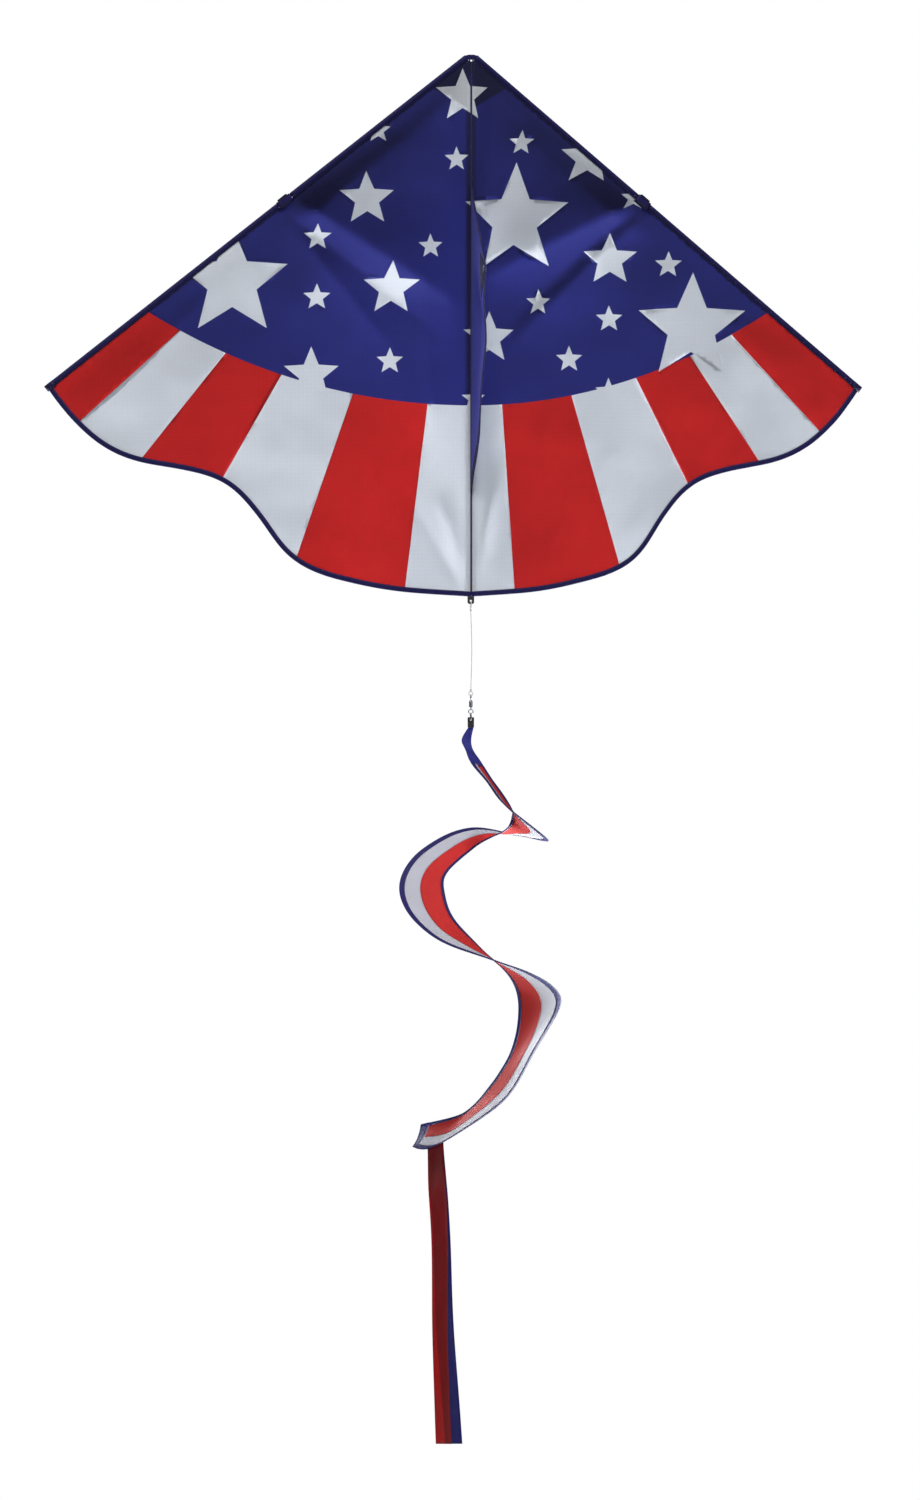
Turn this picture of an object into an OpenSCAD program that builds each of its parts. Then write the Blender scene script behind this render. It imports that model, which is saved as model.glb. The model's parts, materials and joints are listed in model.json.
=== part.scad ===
// Delta kite with a keel, a removable spreader and a spiral spinner tail.
// Millimetres, +Z up. The origin is the centre of the tow eyelet in the keel.
// The kite's front faces -Y and its centre seam is the vertical line x = 0, y = keel_depth.

/* [Sail] */
// Half span of one wing, measured in the wing's own plane
half_span = 640; // [600:5:680]
// Half width of the blunt nose, from the seam to where each leading edge starts
nose_half = 9; // [8:0.5:10]
// Angle between the spine and each leading edge
edge_angle = 52.2; // [51:0.1:53]
// Sweep of each wing behind the flat, in degrees
dihedral = 17; // [14:1:18]
// Height of the nose above the tow eyelet
nose_up = 319; // [300:1:340]
// Length of the centre seam from nose to trailing edge
seam_length = 800; // [795:1:805]
// Thickness of the sail cloth solids
cloth_t = 0.6; // [0.4:0.1:0.8]
// Width of the folded binding along the trailing edge
binding_w = 7.5; // [6:0.5:9]

/* [Keel] */
// Distance from the tow eyelet back to the centre seam
keel_depth = 138; // [125:1:150]
// Top of the keel's seam, above the tow eyelet
keel_top = 126; // [110:1:140]
// Bottom of the keel's seam, below the tow eyelet
keel_bottom = 333; // [320:1:345]
// Radius of the hole in the tow eyelet
eyelet_r = 2.5; // [2:0.1:3]

/* [Frame rods] */
// Diameter of the spine rod
spine_d = 6; // [5:0.5:6]
// Diameter of each leading edge spar
spar_d = 5; // [4:0.5:5]
// Diameter of the spreader rod
spreader_d = 6; // [5:0.5:6]
// Distance down the leading edge from the nose to each spreader clip
clip_at = 347; // [330:1:360]

/* [Tail] */
// Diameter of the tail line
line_d = 1.2; // [1:0.1:1.5]
// Thickness of the spiral's cloth solids
spiral_t = 0.8; // [0.6:0.1:1]
// Width of each streamer ribbon
ribbon_w = 26; // [20:1:28]
// Length of each streamer ribbon
ribbon_l = 436; // [380:1:437]

/* [Hidden] */
$fn = 32;
NAVY = "#1f1c66";
BLUE = "#2b3092";
RED = "#cc2a24";
WHITE = "#d5dbe6";

seam_y = keel_depth;
gap = 0.3;                      // running gap between soft pieces
touch = 0.05;                   // gap between neighbours sewn to each other
seam_gap = 1.5;                 // each sail half stops this far from the seam axis
pocket_r = 3.75;                // outside of the leading edge pocket
pocket_bore_r = 2.9;
cap_r = 3.4;                    // vinyl end caps on the spars
edge_length = (half_span - nose_half) / sin(edge_angle);
pocket_top = 16;                // where the pocket starts and stops along the leading edge
pocket_end = edge_length - 12;
window = 28;                    // open stretch of the pocket where the spreader clips on

// the spine lies in a sleeve behind the seam
spine_y = seam_y + 5.2;
spine_top = nose_up - 14;
spine_bottom = nose_up - seam_length;
sleeve_r = 4;
sleeve_bore_r = 3.2;
end_cap_top = spine_bottom + 13.5;
end_cap_bottom = spine_bottom - 14.5;
lug_t = 3;                      // flat lug under the end cap, drilled for the tail loop
lug_half = 4.8;
lug_hole_z = spine_bottom - 10;
lug_hole_r = 1.8;

// a wing's own plane has x along the wing and z up, with the middle of the nose at 0, 0
function edge_point(s, inset) =
    [nose_half + s * sin(edge_angle) - inset * cos(edge_angle), -s * cos(edge_angle) - inset * sin(edge_angle)];

// trailing edge: four cubic curves from the wing tip to the seam
tip = edge_point(edge_length, 0);
trail_drop = 3.5;               // the cloth's point hangs this far below the spine
TRAILING = [
    [tip, [580, -577], [538, -598], [473, -608.5]],
    [[473, -608.5], [384, -622.5], [365, -630], [323, -683]],
    [[323, -683], [291, -724], [282, -757.5], [204, -777.5]],
    [[204, -777.5], [124, -797.5], [96, -798], [0, -seam_length - trail_drop]]
];
function cubic(c, t) =
    pow(1 - t, 3) * c[0] + 3 * t * pow(1 - t, 2) * c[1] + 3 * t * t * (1 - t) * c[2] + pow(t, 3) * c[3];
curve_steps = 7;
trailing_edge = concat(
    [tip],
    [for (c = TRAILING) for (i = [1:curve_steps]) cubic(c, i / curve_steps)]
);
// the same line moved into the sail by d, with each point moved along its mitred normal
function unit(v) = v / norm(v);
function left_of(v) = [v[1], -v[0]];
function mitre(p, i) =
    let (a = unit(p[max(i, 1)] - p[max(i, 1) - 1]),
         b = unit(p[min(i, len(p) - 2) + 1] - p[min(i, len(p) - 2)]),
         n = unit(left_of(a) + left_of(b)))
    n / (n * left_of(b));
function moved_in(p, d) = [for (i = [0:len(p) - 1]) p[i] + d * mitre(p, i)];
function backwards(p) = [for (i = [len(p) - 1:-1:0]) p[i]];

module on_wing(side) {
    translate([0, seam_y, nose_up])
        mirror([side < 0 ? 1 : 0, 0, 0])
            rotate([0, 0, dihedral])
                children();
}

// children drawn along +Z run down the leading edge, with +X into the sail and +Y behind it
module on_edge(side, s) {
    p = edge_point(s, pocket_r);
    on_wing(side)
        translate([p[0], 0, p[1]])
            rotate([0, 180 - edge_angle, 0])
                children();
}

// a flat piece of cloth in the wing's plane
module cloth(points, thick) {
    rotate([90, 0, 0])
        linear_extrude(thick, center = true)
            polygon(points);
}

// everything inside the leading edge pocket and beside the seam
module sail_limits(thick) {
    inner = edge_point(0, 2 * pocket_r + touch);
    far = edge_point(edge_length + 60, 2 * pocket_r + touch);
    top_z = inner[1] - (seam_gap - inner[0]) / tan(edge_angle);
    cloth([[seam_gap, top_z], far, [far[0], -900], [seam_gap, -900]], thick);
}

// each half has a notch beside the pocket's window, which lets the clip's inner jaw through
notch_in = 13;
module sail(side) {
    color(BLUE)
        difference() {
            on_wing(side)
                intersection() {
                    cloth(concat([[0, 0], [half_span + 20, 0]], moved_in(trailing_edge, binding_w + touch)),
                        cloth_t);
                    sail_limits(3);
                }
            on_edge(side, clip_at - window / 2)
                translate([0, -2, 0])
                    cube([notch_in - pocket_r, 4, window]);
        }
}

module trailing_binding(side) {
    color(NAVY)
        on_wing(side)
            intersection() {
                cloth(concat(trailing_edge, backwards(moved_in(trailing_edge, binding_w))), 2 * cloth_t);
                sail_limits(3);
            }
}

module pocket_tube(side, from, to) {
    on_edge(side, from)
        difference() {
            cylinder(h = to - from, r = pocket_r);
            translate([0, 0, -1])
                cylinder(h = to - from + 2, r = pocket_bore_r);
        }
}

module leading_pocket(side) {
    color(NAVY) {
        pocket_tube(side, pocket_top, clip_at - window / 2);
        pocket_tube(side, clip_at + window / 2, pocket_end);
    }
}

spar_top = 6;
spar_end = edge_length - 1;
module leading_spar(side) {
    color("dimgray")
        on_edge(side, spar_top)
            cylinder(h = spar_end - spar_top, d = spar_d);
}

// vinyl cups on both ends of a spar
module spar_end_caps(side) {
    wall = 2;
    color("black") {
        on_edge(side, spar_top - wall)
            difference() {
                cylinder(h = pocket_top - touch - spar_top + wall, r = cap_r);
                translate([0, 0, wall])
                    cylinder(h = pocket_top, d = spar_d);
            }
        on_edge(side, pocket_end + touch)
            difference() {
                cylinder(h = spar_end + wall - pocket_end, r = cap_r);
                translate([0, 0, -1])
                    cylinder(h = spar_end - pocket_end - touch + 1, d = spar_d);
            }
    }
}

// vinyl sleeve on the spar in the pocket's window, which the spreader clip grips
sleeve_grip_r = 3.6;
module spar_sleeve(side) {
    color("black")
        on_edge(side, clip_at - window / 2 + 2)
            difference() {
                cylinder(h = window - 4, r = sleeve_grip_r);
                translate([0, 0, -1])
                    cylinder(h = window, d = spar_d);
            }
}

// webbing sewn behind each half of the nose
module nose_patch(side) {
    lap = 6;
    top = edge_point(spar_top + 16, 2 * pocket_r + touch);
    low = edge_point(70, 2 * pocket_r + touch);
    color(NAVY)
        on_wing(side)
            translate([0, cloth_t / 2 + touch + 0.4, 0])
                cloth([[lap, low[1] - 30], [lap, top[1] + 9], top, low], 0.8);
}

module spine_rod() {
    color("dimgray")
        translate([0, spine_y, spine_bottom])
            cylinder(h = spine_top - spine_bottom, d = spine_d);
}

module spine_pocket() {
    color(NAVY)
        translate([0, spine_y, end_cap_top + touch])
            difference() {
                cylinder(h = spine_top - 11 - end_cap_top - 2 * touch, r = sleeve_r);
                translate([0, 0, -1])
                    cylinder(h = seam_length, r = sleeve_bore_r);
            }
}

module spine_top_cap() {
    color("black")
        translate([0, spine_y, spine_top - 11])
            difference() {
                cylinder(h = 15, r = sleeve_r);
                translate([0, 0, -1])
                    cylinder(h = 12, d = spine_d);
            }
}

module lug_outline() {
    corner = 3;
    hull() {
        for (side = [-1, 1])
            translate([side * (lug_half - corner), end_cap_bottom + corner])
                circle(r = corner);
        translate([-lug_half, spine_bottom - 4])
            square([2 * lug_half, 2]);
    }
}

// nock on the spine's lower end, with a flat drilled lug for the tail
module spine_end_cap() {
    color("black")
        translate([0, spine_y, 0])
            difference() {
                union() {
                    translate([0, 0, spine_bottom - 3])
                        cylinder(h = end_cap_top - spine_bottom + 3, r = sleeve_r);
                    translate([0, lug_t / 2, 0])
                        rotate([90, 0, 0])
                            linear_extrude(lug_t)
                                lug_outline();
                }
                translate([0, 0, spine_bottom])
                    cylinder(h = 20, d = spine_d);
                translate([0, 0, lug_hole_z])
                    rotate([90, 0, 0])
                        cylinder(h = 12, r = lug_hole_r, center = true);
            }
}

// the keel is a triangle of cloth with a short flat nose in front of the eyelet
keel_rear = seam_y - 4.2;
keel_nose_y = -12;
keel_w = 8;                     // width of the binding on the keel's free edges
KEEL = [[keel_rear, keel_top], [keel_nose_y, 9], [keel_nose_y, -9], [keel_rear, -keel_bottom]];
module keel_cloth(points, thick) {
    rotate([90, 0, 90])
        linear_extrude(thick, center = true)
            polygon(points);
}
keel_inner = moved_in(KEEL, -keel_w);
module keel_limits() {
    keel_cloth([[keel_rear, nose_up], [keel_nose_y, nose_up], [keel_nose_y, -seam_length],
        [keel_rear, -seam_length]], 3);
}
eyelet_barrel_r = eyelet_r + 1;
eyelet_flange_r = eyelet_r + 3.5;
patch_t = 0.8;
stack = cloth_t / 2 + patch_t + touch;      // from the keel's middle to the patch's outer face
module eyelet_hole() {
    rotate([0, 90, 0])
        cylinder(h = 20, r = eyelet_barrel_r, center = true);
}

module keel_panel() {
    color(BLUE)
        difference() {
            intersection() {
                keel_cloth(keel_inner, cloth_t);
                keel_limits();
            }
            eyelet_hole();
        }
}

module keel_binding_upper() {
    color(NAVY)
        intersection() {
            keel_cloth([KEEL[0], KEEL[1], keel_inner[1] + [-touch, touch], keel_inner[0] + [0, touch]],
                2 * cloth_t);
            keel_limits();
        }
}

module keel_binding_lower() {
    color(NAVY)
        intersection() {
            keel_cloth([KEEL[1] - [0, touch], KEEL[2], KEEL[3], keel_inner[3] - [0, touch],
                keel_inner[2] - [touch, 0], keel_inner[1] - [touch, touch]], 2 * cloth_t);
            keel_limits();
        }
}

// reinforcing cloth on both faces of the keel around the eyelet
module tow_patches() {
    color(NAVY)
        difference() {
            for (side = [-1, 1])
                translate([side * (stack - patch_t / 2), 0, 0])
                    keel_cloth([[keel_inner[1][0] + 1, 7], [keel_inner[1][0] + 1, -7], [30, -44], [44, 24]],
                        patch_t);
            eyelet_hole();
        }
}

flange_t = 0.8;
module tow_eyelet() {
    color("silver")
        rotate([0, 90, 0])
            difference() {
                union() {
                    translate([0, 0, -stack - flange_t])
                        cylinder(h = 2 * stack + flange_t, r = eyelet_barrel_r);
                    translate([0, 0, stack])
                        cylinder(h = flange_t, r = eyelet_flange_r);
                }
                cylinder(h = 20, r = eyelet_r, center = true);
            }
}

module tow_eyelet_washer() {
    color("silver")
        rotate([0, 90, 0])
            translate([0, 0, -stack - flange_t])
                difference() {
                    cylinder(h = flange_t, r = eyelet_flange_r);
                    translate([0, 0, -1])
                        cylinder(h = 3, r = eyelet_barrel_r);
                }
}

// spreader: a straight rod behind the sail, held in a moulded clip at each leading edge
clip_point = edge_point(clip_at, pocket_r);
clip_seat_r = sleeve_grip_r + gap;
clip_r = clip_seat_r + 2.5;
clip_l = 16;
jaw = 4.2;                      // how far the jaws reach in front of the spar's axis
flare = 12;                     // the inner jaw leans away so that the spar can leave straight forwards
socket_back = 9;                // from the spar's axis back to the spreader's
socket_r = 4.6;
spreader_z = nose_up + clip_point[1];
spreader_y = seam_y + clip_point[0] * sin(dihedral) + socket_back * cos(dihedral);
clip_x = clip_point[0] * cos(dihedral) - socket_back * sin(dihedral);
rod_half = clip_x - 8;

module spreader_rod() {
    color("dimgray")
        translate([-rod_half, spreader_y, spreader_z])
            rotate([0, 90, 0])
                cylinder(h = 2 * rod_half, d = spreader_d);
}

module spreader_clip(side) {
    color("black") {
        difference() {
            union() {
                on_edge(side, clip_at - clip_l / 2)
                    linear_extrude(clip_l)
                        union() {
                            circle(r = clip_r);
                            translate([-clip_r, -jaw])
                                square([2 * clip_r + 1, jaw]);
                        }
                translate([side * (clip_x + 3), spreader_y, spreader_z])
                    rotate([0, -90 * side, 0])
                        cylinder(h = 36, r = socket_r);
            }
            on_edge(side, clip_at - clip_l)
                linear_extrude(2 * clip_l)
                    union() {
                        circle(r = clip_seat_r);
                        polygon([[-clip_seat_r, 0], [-clip_seat_r, -9],
                            [clip_seat_r + 9 * tan(flare), -9], [clip_seat_r, 0]]);
                    }
            translate([side * (rod_half + touch), spreader_y, spreader_z])
                rotate([0, -90 * side, 0])
                    cylinder(h = 40, d = spreader_d + 0.1);
        }
    }
}

// a ring of round wire or cord, standing in a plane that holds the vertical
module ring(z, r, wire_r, turn) {
    translate([0, spine_y, z])
        rotate([90, 0, turn])
            rotate_extrude()
                translate([r, 0])
                    circle(r = wire_r);
}

// tail line: loop in the lug, knot, line, knot, loop in the swivel
line_r = line_d / 2;
upper_loop_r = 6;
upper_loop_z = lug_hole_z - 0.6 - upper_loop_r;
knot_r = 1.7;
knot_h = 4;
upper_knot_z = upper_loop_z - upper_loop_r - knot_h / 2 + 0.4;
line_top = upper_knot_z - knot_h / 2 - touch;
lower_knot_z = -624;
line_low = lower_knot_z + knot_h / 2 + touch;
lower_loop_r = 3;
lower_loop_z = lower_knot_z - knot_h / 2 + 0.4 - lower_loop_r;
// the line hangs all but straight, a little to one side in the middle
LINE_ROUTE = [[0, 0], [0.4, 0.1], [0.9, 0.3], [1.3, 0.5], [1.5, 0.6], [1.5, 0.6], [1.3, 0.5], [0.9, 0.3],
    [0.4, 0.1], [0, 0]];

module knot(z) {
    translate([0, spine_y, z])
        intersection() {
            cylinder(h = knot_h, r = knot_r, center = true);
            sphere(r = 2.3);
        }
}

module tail_loop_upper() {
    color("white") {
        union() {
            ring(upper_loop_z, upper_loop_r, line_r, 90);
            knot(upper_knot_z);
        }
    }
}

// catmull-rom through rows of numbers, at t from 0 to the last row's index
function blend_rows(p, t) =
    let (i = min(floor(t), len(p) - 2),
         f = t - i,
         a = p[max(i - 1, 0)],
         b = p[i],
         c = p[i + 1],
         d = p[min(i + 2, len(p) - 1)])
    0.5 * (2 * b + f * (c - a) + f * f * (2 * a - 5 * b + 4 * c - d) + f * f * f * (3 * b - 3 * c + d - a));

// a tube or strip: rings of equal length, joined in order and closed at both ends
module swept(rings) {
    n = len(rings[0]);
    last = len(rings) - 1;
    sides = [for (i = [0:last - 1]) for (j = [0:n - 1]) for (half = [0, 1])
        let (a = i * n + j, b = i * n + (j + 1) % n)
        half == 0 ? [a, b, b + n] : [a, b + n, a + n]];
    fan_low = [for (j = [1:n - 2]) [0, j + 1, j]];
    fan_high = [for (j = [1:n - 2]) [last * n, last * n + j, last * n + j + 1]];
    polyhedron([for (r = rings) for (p = r) p], concat(sides, fan_low, fan_high));
}

line_rings = 38;
module tail_line() {
    color("white")
        swept([for (i = [0:line_rings])
            let (t = i / line_rings,
                 off = blend_rows(LINE_ROUTE, t * (len(LINE_ROUTE) - 1)),
                 z = line_top + t * (line_low - line_top))
            [for (k = [0:7]) [off[0] + line_r * cos(45 * k), spine_y + off[1] - line_r * sin(45 * k), z]]]);
}

module tail_loop_lower() {
    color("white") {
        union() {
            ring(lower_loop_z, lower_loop_r, line_r, 0);
            knot(lower_knot_z);
        }
    }
}

// barrel swivel: the upper eye is fixed in the barrel and the lower eye's headed pin turns in it
wire_r = 0.7;
eye_r = 3.4;
upper_eye_z = lower_loop_z - lower_loop_r + line_r + wire_r + gap - eye_r;
barrel_r = 2.6;
barrel_h = 12;
barrel_top = upper_eye_z - eye_r - 1.4;
barrel_low = barrel_top - barrel_h;
lower_eye_z = barrel_low - 1.8 - eye_r;
pin_clear = 0.1;
head_r = 1.5;

module swivel_upper_eye() {
    color("gray") {
        union() {
            ring(upper_eye_z, eye_r, wire_r, 90);
            translate([0, spine_y, barrel_top - 3])
                cylinder(h = upper_eye_z - eye_r - barrel_top + 3, r = wire_r);
        }
    }
}

module swivel_barrel() {
    color("gray")
        translate([0, spine_y, barrel_low])
            rotate_extrude()
                difference() {
                    polygon([[0, 0], [1.6, 0], [barrel_r, 2], [barrel_r, barrel_h - 2], [1.6, barrel_h],
                        [0, barrel_h]]);
                    translate([-1, barrel_h - 3])
                        square([1 + wire_r, 4]);
                    translate([-1, -1])
                        square([1 + wire_r + pin_clear, 4]);
                    translate([-1, 2.5])
                        square([1 + head_r + pin_clear, 3]);
                }
}

module swivel_lower_eye() {
    color("gray") {
        union() {
            ring(lower_eye_z, eye_r, wire_r, 0);
            translate([0, spine_y, lower_eye_z + eye_r])
                cylinder(h = barrel_low + 4 - lower_eye_z - eye_r, r = wire_r);
            translate([0, spine_y, barrel_low + 3.2])
                cylinder(h = 1.4, r = head_r);
        }
    }
}

split_r = 5;
split_z = lower_eye_z - eye_r + 2 * wire_r + gap - split_r;
module split_ring() {
    color("gray")
        ring(split_z, split_r, wire_r, 90);
}

// black tab at the head of the spiral, drilled for the split ring
head_hole_z = split_z - split_r + 0.5;
head_low = head_hole_z - 12;
spiral_top = head_low - touch;
module spiral_head() {
    color("black")
        translate([0, spine_y, 0])
            difference() {
                union() {
                    translate([0, 0, head_hole_z])
                        rotate([0, 90, 0])
                            cylinder(h = 9, r = 3.2, center = true);
                    translate([-4.5, -2, head_low])
                        cube([9, 4, head_hole_z - head_low]);
                }
                translate([0, 0, head_hole_z])
                    rotate([90, 0, 0])
                        cylinder(h = 12, r = 1.9, center = true);
            }
}

// spiral: both edges of the long cloth strip as rows of [degrees round the axis, radius, z], top to end
SPIRAL_OUTER = [
    [-200, 4, spiral_top], [-175, 14, -697], [-125, 13, -718], [-65, 29, -750], [-28, 55, -794],
    [0, 116, -845], [45, 111, -838], [85, 112, -828], [125, 112, -860], [180, 111, -928],
    [232, 113, -992], [280, 114, -1026], [325, 117, -1056], [360, 125, -1089], [392, 118, -1149],
    [425, 116, -1236], [478, 110, -1300], [514, 106, -1301]
];
SPIRAL_INNER = [
    [-20, 4, spiral_top], [-90, 4, -699], [-45, 18, -728], [-20, 30, -752], [0, 58.8, -794], [12, 64, -812],
    [22, 60, -829], [65, 56, -848], [115, 54, -884], [180, 43.5, -926], [235, 52, -972],
    [280, 54, -1015], [325, 58, -1054], [360, 61, -1098], [392, 64, -1158], [424, 62, -1207],
    [462, 66, -1250], [516, 92, -1268]
];
spiral_drift = 0.028;           // the turns drift to one side, in millimetres per degree
outer_binding_w = 8;
inner_binding_w = 4.5;
middle_share = 0.47;            // where the white cloth meets the red
neck_rows = 2.4;                // the gathered neck runs down to this row
hem_row = 16.7;                 // the end hem starts at this row
last_row = len(SPIRAL_OUTER) - 1;
steps_per_row = 6;

function around(row) =
    [spiral_drift * max(row[0], 0) + row[1] * cos(row[0]), spine_y + row[1] * sin(row[0]), row[2]];
function outer_at(t) = around(blend_rows(SPIRAL_OUTER, t));
function inner_at(t) = around(blend_rows(SPIRAL_INNER, t));
function strip_width(t) = norm(inner_at(t) - outer_at(t));
function strip_normal(t) =
    unit(cross(inner_at(t) - outer_at(t), outer_at(min(t + 0.05, last_row)) - outer_at(max(t - 0.05, 0))
        + inner_at(min(t + 0.05, last_row)) - inner_at(max(t - 0.05, 0))));
// where the bindings stop, as shares of the strip's width from its outer edge
function outer_share(t) = min(outer_binding_w / strip_width(t), 0.3);
function inner_share(t) = 1 - min(inner_binding_w / strip_width(t), 0.2);
function share(edge, t) = edge == "outer" ? 0 : edge == "outer_seam" ? outer_share(t)
    : edge == "middle" ? middle_share : edge == "inner_seam" ? inner_share(t) : 1;
function across(t, f, n) = outer_at(t) + f * (inner_at(t) - outer_at(t)) + n * strip_normal(t);

// one piece of the strip, from row t0 to t1 and between two edges of its width
module spiral_piece(t0, t1, from, to, thick) {
    steps = ceil((t1 - t0) * steps_per_row);
    swept([for (i = [0:steps])
        let (t = t0 + (t1 - t0) * i / steps,
             a = share(from, t) + touch / strip_width(t),
             b = share(to, t) - touch / strip_width(t))
        [across(t, a, thick / 2), across(t, b, thick / 2),
            across(t, b, -thick / 2), across(t, a, -thick / 2)]]);
}
strip_start = neck_rows + 0.01;
strip_end = hem_row - 0.01;

module spiral_neck() {
    color(NAVY)
        spiral_piece(0, neck_rows, "outer", "inner", spiral_t);
}

module spiral_white_strip() {
    color(WHITE)
        spiral_piece(strip_start, strip_end, "outer_seam", "middle", spiral_t);
}

module spiral_red_strip() {
    color(RED)
        spiral_piece(strip_start, strip_end, "middle", "inner_seam", spiral_t);
}

module spiral_outer_binding() {
    color(NAVY)
        spiral_piece(strip_start, strip_end, "outer", "outer_seam", 1.5 * spiral_t);
}

module spiral_inner_binding() {
    color(NAVY)
        spiral_piece(strip_start, strip_end, "inner_seam", "inner", 1.5 * spiral_t);
}

module spiral_end_hem() {
    color(NAVY)
        spiral_piece(hem_row, last_row, "outer", "inner", 1.5 * spiral_t);
}

// two ribbons side by side, hanging from the outer edge near the spiral's end
ribbon_x = -40;
ribbon_y = spine_y + 92;
ribbon_top = -1306.5;
ribbon_t = 0.5;
module streamer(lean, depth) {
    translate([0, ribbon_y + depth, 0])
        cloth([[ribbon_x - ribbon_w / 2, ribbon_top], [ribbon_x + ribbon_w / 2, ribbon_top],
            [ribbon_x + lean + ribbon_w / 2, ribbon_top - ribbon_l],
            [ribbon_x + lean - ribbon_w / 2, ribbon_top - ribbon_l]], ribbon_t);
}

module streamer_red() {
    color("#a81820")
        streamer(12, -3);
}

module streamer_blue() {
    color("#20207a")
        streamer(27, 3);
}

sail(-1);  // sail_left
sail(1);  // sail_right
trailing_binding(-1);  // trailing_binding_left
trailing_binding(1);  // trailing_binding_right
leading_pocket(-1);  // leading_pocket_left
leading_pocket(1);  // leading_pocket_right
leading_spar(-1);  // leading_spar_left
leading_spar(1);  // leading_spar_right
spar_end_caps(-1);  // spar_end_caps_left
spar_end_caps(1);  // spar_end_caps_right
spar_sleeve(-1);  // spar_sleeve_left
spar_sleeve(1);  // spar_sleeve_right
nose_patch(-1);  // nose_patch_left
nose_patch(1);  // nose_patch_right
spine_rod();
spine_pocket();
spine_top_cap();
spine_end_cap();
keel_panel();
keel_binding_upper();
keel_binding_lower();
tow_patches();
tow_eyelet();
tow_eyelet_washer();
spreader_rod();
spreader_clip(-1);  // spreader_clip_left
spreader_clip(1);  // spreader_clip_right
tail_loop_upper();
tail_line();
tail_loop_lower();
swivel_upper_eye();
swivel_barrel();
swivel_lower_eye();
split_ring();
spiral_head();
spiral_neck();
spiral_white_strip();
spiral_red_strip();
spiral_outer_binding();
spiral_inner_binding();
spiral_end_hem();
streamer_red();
streamer_blue();
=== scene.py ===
"""A delta kite with a keel, a spreader and a spiral tail: cloth, tapes, stitching, cords and finishes."""

import json
import math
from bisect import bisect_left

import bmesh
import bpy
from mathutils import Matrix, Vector, noise
from mathutils.geometry import delaunay_2d_cdt


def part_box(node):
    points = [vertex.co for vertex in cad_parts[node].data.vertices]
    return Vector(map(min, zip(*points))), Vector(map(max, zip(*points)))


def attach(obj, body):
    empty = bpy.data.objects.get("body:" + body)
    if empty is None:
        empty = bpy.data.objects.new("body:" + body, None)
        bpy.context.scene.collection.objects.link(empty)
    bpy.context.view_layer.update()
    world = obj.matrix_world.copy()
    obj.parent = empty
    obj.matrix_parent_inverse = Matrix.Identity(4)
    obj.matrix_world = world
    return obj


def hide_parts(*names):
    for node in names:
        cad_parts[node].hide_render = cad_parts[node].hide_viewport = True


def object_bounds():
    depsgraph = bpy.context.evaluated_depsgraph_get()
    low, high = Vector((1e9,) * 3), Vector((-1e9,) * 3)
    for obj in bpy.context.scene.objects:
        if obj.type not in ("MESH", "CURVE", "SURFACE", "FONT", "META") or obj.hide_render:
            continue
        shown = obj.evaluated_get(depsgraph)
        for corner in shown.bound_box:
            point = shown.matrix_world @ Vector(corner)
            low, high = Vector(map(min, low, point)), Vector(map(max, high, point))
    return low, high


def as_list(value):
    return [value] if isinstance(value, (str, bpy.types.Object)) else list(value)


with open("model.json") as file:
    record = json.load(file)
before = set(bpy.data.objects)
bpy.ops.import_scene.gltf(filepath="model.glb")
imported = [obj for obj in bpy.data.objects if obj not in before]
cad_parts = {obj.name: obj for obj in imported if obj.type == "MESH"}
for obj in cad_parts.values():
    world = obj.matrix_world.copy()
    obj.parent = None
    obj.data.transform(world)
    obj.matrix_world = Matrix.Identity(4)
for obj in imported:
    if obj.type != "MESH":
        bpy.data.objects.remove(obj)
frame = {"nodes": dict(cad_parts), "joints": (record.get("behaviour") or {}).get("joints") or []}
cad_low, cad_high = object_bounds()
MM = 0.001


# ---------------- places taken from the frame

spine_low, spine_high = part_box("spine_rod")
SPINE_Y = (spine_low.y + spine_high.y) / 2
SEAM_Y = next(j["pos_m"][1] for j in frame["joints"] if j["name"] == "left_wing_fold")
NOSE_Z = spine_high.z + 14 * MM
SEAM_LENGTH = NOSE_Z - spine_low.z
KEEL_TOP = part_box("keel_binding_upper")[1].z
KEEL_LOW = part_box("keel_binding_lower")[0].z
KEEL_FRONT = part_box("keel_binding_lower")[0].y

# the wings' driving dimensions, as in the design
HALF_SPAN = 640 * MM
NOSE_HALF = 9 * MM
EDGE_ANGLE = math.radians(52.2)
DIHEDRAL = math.radians(17)
EDGE_LENGTH = (HALF_SPAN - NOSE_HALF) / math.sin(EDGE_ANGLE)
CLIP_AT = 347 * MM
WINGS = {-1: "left", 1: "right"}


# ---------------- camera

CAMERA_TARGET = Vector((-4 * MM, SEAM_Y + 92 * MM, -712 * MM))
CAMERA_TURN = math.radians(-8)
CAMERA_DISTANCE = 60.0
VIEW_HEIGHT = 2.2275
SENSOR = 36.0


def placed(name, data):
    """A new object in the scene."""
    obj = bpy.data.objects.new(name, data)
    bpy.context.scene.collection.objects.link(obj)
    return obj


def aim(obj, place, target):
    """Puts a camera or a lamp at a place, facing a target."""
    obj.location = place
    obj.rotation_euler = (target - place).to_track_quat("-Z", "Y").to_euler()


def add_camera():
    data = bpy.data.cameras.new("camera")
    data.sensor_width = SENSOR
    data.lens = SENSOR * CAMERA_DISTANCE / VIEW_HEIGHT
    data.clip_end = 4 * CAMERA_DISTANCE
    camera = placed("camera", data)
    back = Vector((math.sin(CAMERA_TURN), -math.cos(CAMERA_TURN), 0))
    aim(camera, CAMERA_TARGET + CAMERA_DISTANCE * back, CAMERA_TARGET)
    bpy.context.scene.camera = camera


add_camera()


# ---------------- small mathematics

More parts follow.
